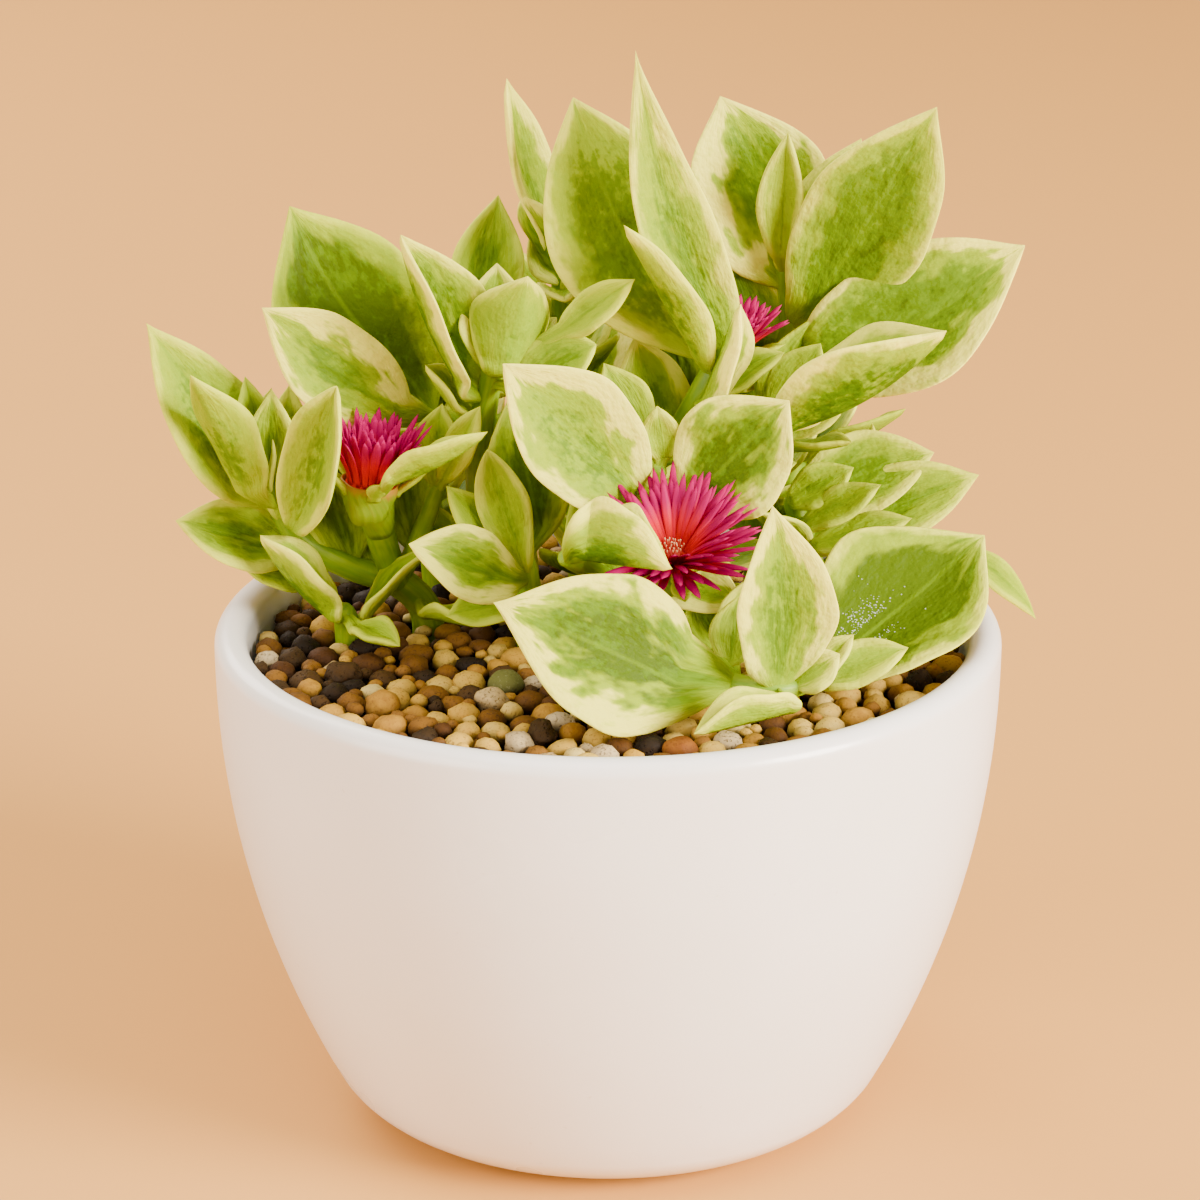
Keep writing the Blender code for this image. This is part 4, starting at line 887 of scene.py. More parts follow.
def build_shoot(name, shoot, materials, thick, margin, taken):
    """One leafy shoot: its stems, its leaves and what carries its bloom, as one piece."""
    draw = random.Random(name)
    sheets = Sheets(LEAF_LAYERS)
    for points in shoot["stems"]:
        add_stem(sheets, points, draw.uniform(0, 50))
    inner = INNER_LEAVES.get(name, [])
    young = [] if name in FULL_SHOOTS else young_pairs(name, shoot["stems"], taken)
    for number, row in enumerate(inner + young):
        # Inner leaves lie inside the plant, so their green is made deeper as painted shade.
        shade = 0.7 if number < len(inner) else 0.0
        looks = (margin * draw.uniform(0.15, 0.55), shade + draw.uniform(0.2, 0.8), draw.uniform(-0.3, 0.3))
        root = nearest_on_stems(row["base"], shoot["stems"])
        add_leaf(sheets, row, root, looks, draw.uniform(0, 90), thick * 0.85, YOUNG_ROWS, YOUNG_COLUMNS)
    for number, row in enumerate(shoot["leaves"]):
        seed = leaf_seed(name, number)
        drawn = (margin * draw.uniform(0.45, 1.25), draw.uniform(0.2, 0.8), draw.uniform(-0.3, 0.3))
        root = nearest_on_stems(row["base"], shoot["stems"])
        add_leaf(sheets, row, root, row["looks"] or drawn, seed, thick)
    if "bloom" in shoot:
        stem = shoot["stems"][1]
        add_receptacle(sheets, BLOOMS[shoot["bloom"]], stem, draw.uniform(0, 50), thick)
    piece = sheets.make(f"{name}_leaves", materials)
    fit_out(piece, "variegated_leaf", name)


def petal_values(share, across, seed):
    """Surface coordinates of a petal's point, for its material."""
    return {"petal_place": (share, across, seed)}


def add_petal(sheets, spec, turn, rise, length, twist, seed, inner):
    """One narrow petal: a shallow gutter that rises from the disc, spreads and ends in a point."""
    across, deep, up = axis_frame(spec["axis"])
    out = way_round(across, deep, turn)
    side = up.cross(out) * math.cos(twist) + up * math.sin(twist)
    reach, lift = length * math.cos(rise), length * math.sin(rise)
    root = spec["root"] - inner
    rings, values = [], []
    for step in range(PETAL_STEPS):
        t = step / PETAL_STEPS
        half = PETAL_HALF_WIDTH * (0.5 + 0.6 * math.sin(math.pi * min(0.5, t * 0.8)))
        if t > 0.62:
            half *= 1 - 0.75 * ((t - 0.62) / 0.38) ** 1.3
        middle = out * (root + reach * t ** 1.2) + up * (lift * t ** 0.85 - BLOOM_DISC_HEIGHT / 2)
        past = max(t, 0.05)
        slope = (out * reach * 1.2 * past ** 0.2 + up * lift * 0.85 * past ** -0.15).normalized()
        normal = slope.cross(side).normalized()
        ring, ring_values = [], []
        for way in even_turns(PETAL_SIDES):
            over = math.cos(way)
            gutter = 0.18 * (over * over - 0.5) * half
            point = middle + side * over * half + normal * (math.sin(way) * PETAL_THICKNESS / 2 - gutter)
            ring.append(Vector(spec["centre"]) + point)
            ring_values.append(petal_values(t, over, seed))
        rings.append(ring)
        values.append(ring_values)
    tip = Vector(spec["centre"]) + out * (root + reach) + up * (lift - BLOOM_DISC_HEIGHT / 2)
    sheets.ring_strip(rings, values, tip=tip, tip_values=petal_values(1.0, 0.0, seed))


def add_disc(sheets, spec, profile, sides):
    """A small turned body on a bloom's axis, from radius and height pairs."""
    across, deep, up = axis_frame(spec["axis"])
    centre = Vector(spec["centre"])
    ways = even_turns(sides)
    rings = [[centre + way_round(across, deep, way) * radius + up * height for way in ways]
             for radius, height in profile]
    values = [petal_values(0.0, math.sin(way), 0.0) for way in ways]
    sheets.ring_strip(rings, [values] * len(rings))


def build_petals(name, spec, material, layers):
    """A bloom's whorl: layers of narrow petals on a small disc."""
    draw = random.Random(name)
    sheets = Sheets(PETAL_LAYERS)
    low, high = spec["rises"]
    for layer in range(layers):
        share = layer / max(layers - 1, 1)
        for number in range(spec["petals"]):
            turn = (number + layer / layers) * math.tau / spec["petals"] + draw.uniform(-0.07, 0.07)
            rise = math.radians(low + (high - low) * share + draw.uniform(-5, 5))
            length = spec["length"] * (1.02 - 0.12 * share) * draw.uniform(0.86, 1.06)
            add_petal(sheets, spec, turn, rise, length, draw.uniform(-0.3, 0.3), draw.uniform(0, 60),
                      0.3 * spec["root"] * share)
    flat = spec["root"]
    add_disc(sheets, spec, [(0.05, -0.05), (flat, -0.05), (flat + 0.3, -BLOOM_DISC_HEIGHT / 2),
                            (flat, -BLOOM_DISC_HEIGHT), (0.05, -BLOOM_DISC_HEIGHT)], 24)
    piece = sheets.make(f"{name}_fine", [material])
    fit_out(piece, "magenta_petal", name)


def add_filament(sheets, base, ahead, bend, length, radius, seed):
    """One stamen: a thin curved stalk that ends in a small swollen tip."""
    side = ahead.cross(Vector((0.2, 0.9, 0.4))).normalized()
    deep = ahead.cross(side)
    rings, values = [], []
    ways = even_turns(6)
    for t, wide in ((0.0, 1.1), (0.35, 0.9), (0.7, 0.8), (0.82, 1.3), (0.93, 1.5), (1.0, 0.8)):
        middle = base + ahead * length * t + bend * t * t
        rings.append([middle + way_round(side, deep, way) * radius * wide for way in ways])
        values.append([petal_values(t, math.cos(way), seed) for way in ways])
    sheets.ring_strip(rings, values)


def build_stamens(name, spec, material):
    """A bloom's middle: a low button with a bunch of stamens on it."""
    draw = random.Random(name)
    sheets = Sheets(PETAL_LAYERS)
    across, deep, up = axis_frame(spec["axis"])
    centre = Vector(spec["centre"])
    add_disc(sheets, spec, [(0.9, 0.1), (1.15, 0.35), (1.0, 0.7), (0.5, 0.95), (0.05, 1.0)], 20)
    for number in range(STAMEN_COUNT):
        turn = number * STAMEN_TURN
        reach = 1.15 * math.sqrt((number + 0.5) / STAMEN_COUNT)
        out = way_round(across, deep, turn)
        lean = 0.35 * reach * draw.uniform(0.4, 1.3)
        ahead = (up + out * lean).normalized()
        base = centre + out * reach + up * (0.9 - 0.35 * reach)
        bend = -out * draw.uniform(0.0, 0.35)
        add_filament(sheets, base, ahead, bend, draw.uniform(1.2, 1.75), draw.uniform(0.05, 0.07),
                     draw.uniform(0, 60))
    piece = sheets.make(f"{name}_fine", [material])
    fit_out(piece, "cream_stamen", name)


# The kinds of loose grains, and the part's own finish that matches each of them.
GRAIN_SLOTS = {"tan": "tan_akadama", "brown": "mixed_grit", "lava": "dark_lava", "pumice": "pale_pumice"}


def wall_radius(height, pot):
    """The pot's outer radius at a height, from the shape of its belly, in millimetres."""
    shoulder = (pot.height - pot.lip_radius) / MM
    return pot.rim_radius / MM * (1 - BELLY_TAPER * (1 - height / shoulder) ** BELLY_POWER)


def inner_radius(height, pot):
    """The radius of the pot's inside at a height, in millimetres."""
    return wall_radius(height, pot) - 2 * pot.lip_radius / MM


def pot_profile(pot):
    """The pot's half section in millimetres: up its inner side, over the lip and down its outer side."""
    lip, rim, height = pot.lip_radius / MM, pot.rim_radius / MM, pot.height / MM
    shoulder = height - lip
    points = [(0.0, FLOOR_HEIGHT)]
    inner_foot = inner_radius(FLOOR_HEIGHT, pot) - FLOOR_CORNER
    points += [(inner_foot * share, FLOOR_HEIGHT) for share in (0.4, 0.8, 1.0)]
    points += [(inner_radius(level, pot), level) for level in (*INSIDE_LEVELS, shoulder)]
    for step in range(1, LIP_STEPS):
        turn = math.pi - step * math.pi / LIP_STEPS
        points.append((rim - lip + lip * math.cos(turn), shoulder + lip * math.sin(turn)))
    levels = [shoulder - step * (shoulder - FOOT_ROUND_HEIGHT) / WALL_STEPS for step in range(WALL_STEPS)]
    points += [(wall_radius(level, pot), level) for level in levels]
    side, foot = wall_radius(FOOT_ROUND_HEIGHT, pot), pot.foot_radius / MM
    corner = side - (wall_radius(FOOT_ROUND_HEIGHT + 1, pot) - side) * FOOT_ROUND_HEIGHT
    for step in range(1, FOOT_STEPS + 1):
        t = step / FOOT_STEPS
        points.append(((1 - t) ** 2 * side + 2 * t * (1 - t) * corner + t * t * foot,
                       FOOT_ROUND_HEIGHT * (1 - t) ** 2))
    points += [(foot * share, 0.0) for share in (0.97, 0.7, 0.35, 0.0)]
    return points


def turned_piece(name, points, steps, material):
    """A turned solid by the Screw modifier, its half section on +X, with the modifier applied."""
    mesh = bpy.data.meshes.new(name)
    edges = [(number, number + 1) for number in range(len(points) - 1)]
    mesh.from_pydata([(x * MM, 0.0, z * MM) for x, z in points], edges, [])
    piece = put_in_scene(name, mesh)
    screw = piece.modifiers.new("Turn", "SCREW")
    screw.steps = steps
    screw.render_steps = steps
    screw.use_merge_vertices = True
    screw.merge_threshold = 0.00001
    screw.use_smooth_shade = True
    apply_modifiers(piece)
    face_out(piece.data)
    piece.data.materials.append(material)
    return piece


def apply_modifiers(piece):
    """Replace a piece's mesh by what its modifiers make of it."""
    bpy.context.view_layer.update()
    graph = bpy.context.evaluated_depsgraph_get()
    mesh = bpy.data.meshes.new_from_object(piece.evaluated_get(graph))
    piece.modifiers.clear()
    piece.data = mesh


def grain_points(radius, squash, seed, lumps, level):
    """A rounded grain's points and faces round its own middle: a ball pressed out of true by soft noise."""
    bm = bmesh.new()
    bmesh.ops.create_icosphere(bm, subdivisions=level, radius=1.0)
    draw = random.Random(seed)
    stretch = Vector((draw.uniform(0.86, 1.14), draw.uniform(0.86, 1.14), squash * draw.uniform(0.9, 1.1)))
    turn = Matrix.Rotation(draw.uniform(0, math.tau), 3, "Z")
    turn = turn @ Matrix.Rotation(draw.uniform(-0.4, 0.4), 3, "X")
    shift = Vector((seed * 1.7, seed * 0.9, 0))
    points = []
    for vert in bm.verts:
        way = vert.co.normalized()
        swell = 1 + lumps * noise.noise(way * 1.3 + shift) + 0.35 * lumps * noise.noise(way * 3.1 + shift)
        ball = Vector((way.x * stretch.x, way.y * stretch.y, way.z * stretch.z))
        points.append(turn @ (ball * swell * radius))
    faces = [tuple(vert.index for vert in face.verts) for face in bm.faces]
    bm.free()
    return points, faces


def add_grain(sheets, centre, radius, squash, seed, lumps=GRAIN_LUMPS, level=2):
    """One grain set down at its place."""
    points, faces = grain_points(radius, squash, seed, lumps, level)
    start = len(sheets.points)
    tint = random.Random(seed * 3 + 1).random()
    for point in points:
        sheets.points.append(centre + point)
        sheets.layers["grain_place"].append(tuple(point + Vector((seed * 5.0, 0, 0))))
        sheets.layers["grain_kind"].append((tint, point.z / radius, 0.0))
    for face in faces:
        sheets.add_face(tuple(start + corner for corner in face))


def grain_kind(x, y, draw):
    """Which grit lies where: darker towards the left back, mostly tan in front."""
    dark = smooth_step(-x - 0.35 * y, 4, 34) * 0.45 + smooth_step(y, -14, 10) * 0.3
    pick = draw.random()
    if pick < 0.07 + 0.42 * dark:
        return "lava"
    if pick < 0.30 + 0.62 * dark:
        return "brown"
    if pick > 0.955:
        return "pumice"
    return "tan"


def grid_cell(x, y):
    """The square of the search grid that a place lies in."""
    return round(x / SEARCH_STEP), round(y / SEARCH_STEP)


def grain_places(grit, pot):
    """Places and radii of the top grains, dropped at random and kept apart, largest first."""
    draw = random.Random(PLACE_SEED)
    low, high = grit.smallest / MM, grit.largest / MM
    feet = [shoot["stems"][0][0] for shoot in SHOOTS.values()]
    taken = [(*spec["place"], spec["radius"] * STONE_CLOSENESS) for spec in STONES.values()]
    fixed = len(taken)
    reach = inner_radius(grit.level / MM, pot)
    cells = {}
    for number, (x, y, radius) in enumerate(taken):
        cells.setdefault(grid_cell(x, y), []).append(number)
    sizes = sorted((low + (high - low) * draw.random() ** 1.5 for _ in range(grit.grains)), reverse=True)
    for radius in sizes:
        for _ in range(GRAIN_TRIES):
            turn = draw.uniform(0, math.tau)
            out = math.sqrt(draw.random()) * (reach - radius - GRAIN_WALL_GAP)
            x, y = out * math.cos(turn), out * math.sin(turn)
            column, line = grid_cell(x, y)
            near = [n for i in (-1, 0, 1) for j in (-1, 0, 1) for n in cells.get((column + i, line + j), ())]
            if any(math.dist((x, y), taken[n][:2]) < (radius + taken[n][2]) * GRAIN_CLOSENESS for n in near):
                continue
            if any(math.dist((x, y), foot[:2]) < foot[3] + radius * STEM_CLOSENESS for foot in feet):
                continue
            cells.setdefault((column, line), []).append(len(taken))
            taken.append((x, y, radius))
            break
    return taken[fixed:]


def build_fill(level, pot, material):
    """The near black fill that the loose grains lie on, painted shade for the gaps, a little uneven on top.
    """
    heights = (FLOOR_HEIGHT + TIGHT_GAP, 10.0, 20.0, 30.0, 40.0, 48.0, level - FILL_DEPTH)
    sides = [(inner_radius(height, pot) - (FLOOR_CORNER + 1 if height < 9 else 2 * TIGHT_GAP), height)
             for height in heights]
    rings = [(sides[-1][0] * share, level - FILL_DEPTH) for share in (0.0, 0.12, 0.3, 0.5, 0.7, 0.88, 1.0)]
    profile = rings + sides[::-1][1:] + [(0.0, sides[0][1])]
    fill = turned_piece("grit_fill", profile, FILL_TURNS, material)
    for vert in fill.data.vertices:
        if vert.co.z > (level - 2.5) * MM:
            vert.co.z += 0.7 * MM * noise.noise(vert.co / MM * 0.45)
    fit_out(fill, "mixed_grit", "grit_bed")


def build_grit(grit, pot, materials):
    """The grit: a fill coloured as painted shade, with loose rounded grains of four kinds on top."""
    level = grit.level / MM
    build_fill(level, pot, materials["fill"])
    sheets = {kind: Sheets(GRAIN_LAYERS) for kind in GRAIN_SLOTS}
    draw = random.Random(KIND_SEED)
    for number, (x, y, radius) in enumerate(grain_places(grit, pot), TOP_NUMBERS):
        kind = grain_kind(x, y, draw)
        height = level + GRAIN_RISE - GRAIN_SINK * radius + draw.uniform(-GRAIN_UNEVEN, GRAIN_UNEVEN)
        add_grain(sheets[kind], Vector((x, y, height)), radius, GRAIN_SQUASH, number,
                  lumps=ROUGH_LUMPS if kind in ROUGH_KINDS else GRAIN_LUMPS)
    # Smaller grains a little lower down close the gaps between the top ones.
    draw = random.Random(LOWER_SEED)
    reach = inner_radius(level, pot) - LOWER_WALL_GAP
    for number in range(LOWER_NUMBERS, LOWER_NUMBERS + LOWER_GRAINS):
        turn, out = draw.uniform(0, math.tau), math.sqrt(draw.random()) * reach
        kind = "brown" if draw.random() < LOWER_BROWN else "lava"
        height = level - LOWER_DEPTH + draw.uniform(-GRAIN_UNEVEN, GRAIN_UNEVEN)
        place = Vector((out * math.cos(turn), out * math.sin(turn), height))
        add_grain(sheets[kind], place, draw.uniform(*LOWER_RADII), LOWER_SQUASH, number, level=1)
    for kind, sheet in sheets.items():
        fit_out(sheet.make(f"{kind}_grains", [materials[kind]]), GRAIN_SLOTS[kind])


def build_stones(materials):
    """The single larger stones, each in its socket of the bed."""
    for number, (name, spec) in enumerate(STONES.items(), STONE_NUMBERS):
        sheets = Sheets(GRAIN_LAYERS)
        x, y = spec["place"]
        radius = spec["radius"]
        kind = STONE_MATERIALS[spec["material"]]
        middle = Vector((x, y, BED_LEVEL + 0.2 * radius))
        add_grain(sheets, middle, radius * 0.98, spec["squash"], number,
                  lumps=0.2 if kind in ROUGH_KINDS else 0.1, level=4)
        piece = sheets.make(f"{name}_fine", [materials[kind]])
        fit_out(piece, spec["material"], name)


def build_dew(material, thick):
    """Fine beads of dew on the upper side of the large shaded leaf."""
    shoot, number = DEWY_LEAF
    seed = leaf_seed(shoot, number)
    row = SHOOTS[shoot]["leaves"][number]
    root = nearest_on_stems(row["base"], SHOOTS[shoot]["stems"])
    draw = random.Random(DEW_SEED)
    sheets = Sheets(GRAIN_LAYERS)
    step = 0.004
    for bead in range(DEW_NUMBERS, DEW_NUMBERS + DEW_BEADS):
        t = min(0.7, abs(draw.gauss(*DEW_ALONG)) + 0.05)
        q = min(max(draw.gauss(*DEW_ACROSS), -0.8), 0.8)
        place = blade_point(row, root, t, q, LEAF_WAVE, seed)
        up = blade_point(row, root, t + step, q, LEAF_WAVE, seed) - place
        out = blade_point(row, root, t, q + step, LEAF_WAVE, seed) - place
        normal = up.cross(out).normalized()
        if normal.dot(row["face"]) < 0:
            normal = -normal
        radius = draw.uniform(*DEW_RADII)
        middle = place + normal * (thick * 0.46 + radius * 0.3)
        add_grain(sheets, middle, radius, 0.8, bead, lumps=0.08, level=1)
    fit_out(sheets.make("dew_beads", [material]), "variegated_leaf")


# What every node of a kind has in this script: smooth steps between two values, and blends of colours.
NODE_SETTINGS = {"MapRange": {"interpolation_type": "SMOOTHSTEP"}, "Mix": {"data_type": "RGBA"}}


def set_socket(tree, socket, value):
    """Link an input from another node's output or give it a value. A colour is made opaque."""
    if isinstance(value, bpy.types.NodeSocket):
        tree.links.new(value, socket)
    elif socket.type == "RGBA":
        socket.default_value = (*value, 1.0)
    else:
        socket.default_value = value


def add_node(tree, kind, inputs=(), output=None, stops=(), **settings):
    """Add a node with its settings and links, and give back one of its outputs, usually the first.

    The inputs are values or other nodes' outputs, by name or in the order in which the node shows them.
    """
    made = tree.nodes.new(f"ShaderNode{kind}")
    for name, value in {**NODE_SETTINGS.get(kind, {}), **settings}.items():
        setattr(made, name, value)
    shown = [socket for socket in made.inputs if socket.enabled]
    if isinstance(inputs, dict):
        shown = [made.inputs[name] for name in inputs]
        inputs = inputs.values()
    for socket, value in zip(shown, inputs):
        set_socket(tree, socket, value)
    ramp = made.color_ramp.elements if stops else ()
    while len(ramp) < len(stops):
        ramp.new(0.5)
    for element, (place, colour) in zip(ramp, stops):
        element.position = place
        element.color = (*colour, 1.0)
    return made.outputs[output] if output else next(socket for socket in made.outputs if socket.enabled)


def start_material(name):
    """A material and its node tree, with one Principled shader in it."""
    material = bpy.data.materials.new(name)
    material.use_nodes = True
    return material, material.node_tree


def finish_material(material, sockets):
    """Give the shader its values and links, by the names of its sockets."""
    tree = material.node_tree
    shader = tree.nodes["Principled BSDF"]
    for name, value in sockets.items():
        set_socket(tree, shader.inputs[name], value)
    return material


def surface(tree, name):
    """The surface coordinates that a piece's points carry, as a vector and as its three numbers."""
    place = add_node(tree, "Attribute", output="Vector", attribute_name=name, attribute_type="GEOMETRY")
    return place, *add_node(tree, "SeparateXYZ", (place,)).node.outputs


def patches(tree, place, scale, detail=2.0, shift=0.0):
    """Soft patches from 0 to 1 over a surface, scale in patches to each unit of its coordinates.

    A leaf's and a grain's coordinates are in millimetres, so 0.5 gives patches of 2 mm. An object's own are
    in metres, so 500 gives patches of 2 mm.
    """
    moved = add_node(tree, "Mapping", {"Vector": place, "Scale": scale, "Location": (0, 0, shift)})
    return add_node(tree, "TexNoise", {"Vector": moved, "Scale": 1.0, "Detail": detail, "Roughness": 0.55})


def vein_place(tree, across, along, edge, seed):
    """Coordinates whose lines start at the midrib and close up at the tip, as a leaf's veins do.

    The first is 7 times the share of the half's width, and the second is slanted forwards from the midrib.
    """
    reach = add_node(tree, "Math", (across,), operation="ABSOLUTE")
    reach = add_node(tree, "Math", (reach, edge), operation="ADD")
    reach = add_node(tree, "Math", (reach, 0.4), operation="MAXIMUM")
    vein = add_node(tree, "Math", (across, 7.0), operation="MULTIPLY")
    vein = add_node(tree, "Math", (vein, reach), operation="DIVIDE")
    slant = add_node(tree, "Math", (vein,), operation="ABSOLUTE")
    slant = add_node(tree, "Math", (slant, -0.55, along), operation="MULTIPLY_ADD")
    return add_node(tree, "CombineXYZ", (vein, slant, seed))


def margin_depth(tree, across, cream, lean, foot, broad, lobes):
    """How far the cream margin reaches in, in millimetres: wider in lobes, and wider on one half."""
    half = add_node(tree, "MapRange", (across, -2.5, 2.5, -1.0, 1.0))
    wide = add_node(tree, "Math", (broad, 2.6, -0.35), operation="MULTIPLY_ADD")
    uneven = add_node(tree, "Math", (lean, half, 1.0), operation="MULTIPLY_ADD")
    wide = add_node(tree, "Math", (wide, uneven), operation="MULTIPLY")
    swing = add_node(tree, "Math", (lobes, 3.0, -1.5), operation="MULTIPLY_ADD")
    wide = add_node(tree, "Math", (wide, swing), operation="ADD")
    wide = add_node(tree, "Math", (wide, foot), operation="MULTIPLY")
    wide = add_node(tree, "Math", (cream, wide), operation="MULTIPLY")
    return add_node(tree, "Math", (wide, 0.1), operation="MAXIMUM")


def green_depth(tree, tone, edge, share, broad, lobes, teeth, fine):
    """How deep the green is, from 0 to 1: deeper inside the leaf and paler towards its tip, in patches."""
    depth = add_node(tree, "Math", (tone, -0.62), operation="ADD")
    depth = add_node(tree, "Math", (broad, 0.9, depth), operation="MULTIPLY_ADD")
    inside = add_node(tree, "MapRange", (edge, 0.0, 5.5, 0.0, 0.34))
    depth = add_node(tree, "Math", (depth, inside), operation="ADD")
    tipwards = add_node(tree, "MapRange", (share, 0.35, 1.0, 0.0, -0.3))
    depth = add_node(tree, "Math", (depth, tipwards), operation="ADD")
    for pattern, strength in ((lobes, 1.2), (teeth, 0.6), (fine, 1.3)):
        depth = add_node(tree, "Math", (depth, -strength / 2), operation="ADD")
        depth = add_node(tree, "Math", (pattern, strength, depth), operation="MULTIPLY_ADD")
    return depth


def blade_green(tree, leaves, depth, inward, lobes, across):
    """The green of a blade: fresh to deep, paler in a band beside the cream and along the midrib."""
    green = add_node(tree, "ValToRGB", (depth,), stops=(
        (0.0, linear("#88A400")), (0.3, leaves.fresh_green), (0.85, leaves.deep_green),
        (1.0, linear("#243E00"))))
    # In the band only one layer of cells is green.
    band = add_node(tree, "Math", (inward, 0.9), operation="ADD")
    band = add_node(tree, "Math", (lobes, -5.0, band), operation="MULTIPLY_ADD")
    band = add_node(tree, "MapRange", (band, -1.3, 1.7, 1.0, 0.0))
    band = add_node(tree, "Math", (band, 0.85), operation="MULTIPLY")
    green = add_node(tree, "Mix", (band, green, leaves.pale_green))
    midrib = add_node(tree, "Math", (across,), operation="ABSOLUTE")
    midrib = add_node(tree, "MapRange", (midrib, 0.05, 0.45, 0.35, 0.0))
    return add_node(tree, "Mix", (midrib, green, linear("#729400")))


def margin_cream(tree, leaves, cream, teeth):
    """The cream of a margin: lime where it is narrow, with lime flecks where it is wide."""
    lime = linear("#BCCC14")
    full = add_node(tree, "MapRange", (cream, 0.1, 1.4, 0.1, 1.0))
    pale = add_node(tree, "Mix", (full, lime, leaves.cream))
    flecks = add_node(tree, "MapRange", (teeth, 0.5, 0.8, 0.0, 0.5))
    return add_node(tree, "Mix", (flecks, pale, lime))


def leaf_material(leaves):
    """Living leaf skin of a variegated succulent.

    The eye gets soft wax over juicy cells, a ragged cream margin and fine glistening blisters.
    """
    material, tree = start_material("variegated_leaf_skin")
    place, across, along, seed = surface(tree, "leaf_place")
    _, edge, share, below = surface(tree, "leaf_edge")
    _, cream, tone, lean = surface(tree, "leaf_kind")
    veins = vein_place(tree, across, along, edge, seed)
    # On a blade 14 mm wide the patches are 3 by 6, 2 by 4, 0.6 by 1.8 and 0.9 by 1.2 mm.
    broad = patches(tree, place, (0.33, 0.16, 1.0), 1.0)
    lobes = patches(tree, veins, (0.55, 0.26, 1.0), 2.0, 40.0)
    teeth = patches(tree, veins, (1.7, 0.55, 1.0), 3.0, 70.0)
    fine = patches(tree, place, (1.1, 0.8, 1.0), 3.0, 23.0)
    # The cream margin is a skin layer without green, so its inner edge is ragged along the veins.
    foot = add_node(tree, "MapRange", (share, 0.0, 0.2))
    wide = margin_depth(tree, across, cream, lean, foot, broad, lobes)
    ragged = add_node(tree, "Math", (teeth, 1.6, -0.8), operation="MULTIPLY_ADD")
    torn = add_node(tree, "MapRange", (cream, 0.0, 1.6, 0.35, 1.0))
    ragged = add_node(tree, "Math", (ragged, torn), operation="MULTIPLY")
    border = add_node(tree, "Math", (wide, ragged), operation="ADD")
    inward = add_node(tree, "Math", (edge, border), operation="SUBTRACT")
    rim = add_node(tree, "MapRange", (inward, -0.5, 0.75, 1.0, 0.0))
    rim = add_node(tree, "Math", (rim, foot), operation="MULTIPLY")
    depth = green_depth(tree, tone, edge, share, broad, lobes, teeth, fine)
    green = blade_green(tree, leaves, depth, inward, lobes, across)
    skin = add_node(tree, "Mix", (rim, green, margin_cream(tree, leaves, cream, teeth)))
    shaded = add_node(tree, "Math", (below, 0.25), operation="MULTIPLY")
    skin = add_node(tree, "Mix", (shaded, skin, linear("#7E9610")))
    # The wax lies in patches of 2 by 3 mm. The blisters are about 0.3 mm across on the real leaf, and are
    # drawn at 0.45 mm so that they show.
    wax = patches(tree, place, (0.5, 0.35, 1.0), 2.0, 61.0)
    rough = add_node(tree, "Math", (wax, 0.24, 0.36), operation="MULTIPLY_ADD")
    blisters = add_node(tree, "TexVoronoi", {"Vector": place, "Scale": 1 / 0.45})
    bump = add_node(tree, "Bump", {"Height": blisters, "Strength": 0.5, "Distance": 0.00008}, invert=True)
    bump = add_node(tree, "Bump", {"Height": teeth, "Strength": 0.45, "Distance": 0.0004, "Normal": bump})
    bump = add_node(tree, "Bump", {"Height": wax, "Strength": 0.5, "Distance": 0.0008, "Normal": bump})
    return finish_material(material, {
        "Base Color": skin, "Roughness": rough, "Normal": bump, "IOR": 1.43, "Specular IOR Level": 0.06,
        "Subsurface Weight": 0.1, "Subsurface Radius": (0.8, 1.0, 0.1), "Subsurface Scale": 0.0008})


def stem_material(leaves):
    """Young fleshy stem: smooth green skin with faint lengthwise streaks."""
    material, tree = start_material("green_stem_skin")
    place = surface(tree, "leaf_place")[0]
    # Streaks of 0.6 by 8 mm and patches of 4 by 5 mm.
    streaks = patches(tree, place, (1.6, 0.12, 1.0), 3.0)
    broad = patches(tree, place, (0.25, 0.2, 1.0), 2.0, 30.0)
    pale = add_node(tree, "MapRange", (streaks, 0.3, 0.7))
    skin = add_node(tree, "Mix", (pale, leaves.stem_green, leaves.pale_green))
    fresh = add_node(tree, "MapRange", (broad, 0.35, 0.7, 0.0, 0.5))
    skin = add_node(tree, "Mix", (fresh, skin, leaves.fresh_green))
    rough = add_node(tree, "MapRange", (streaks, 0.2, 0.8, 0.36, 0.5))
    bump = add_node(tree, "Bump", {"Height": streaks, "Strength": 0.3, "Distance": 0.00015})
    return finish_material(material, {
        "Base Color": skin, "Roughness": rough, "Normal": bump, "IOR": 1.43, "Specular IOR Level": 0.3,
        "Subsurface Weight": 0.1, "Subsurface Radius": (0.8, 1.0, 0.1), "Subsurface Scale": 0.001})


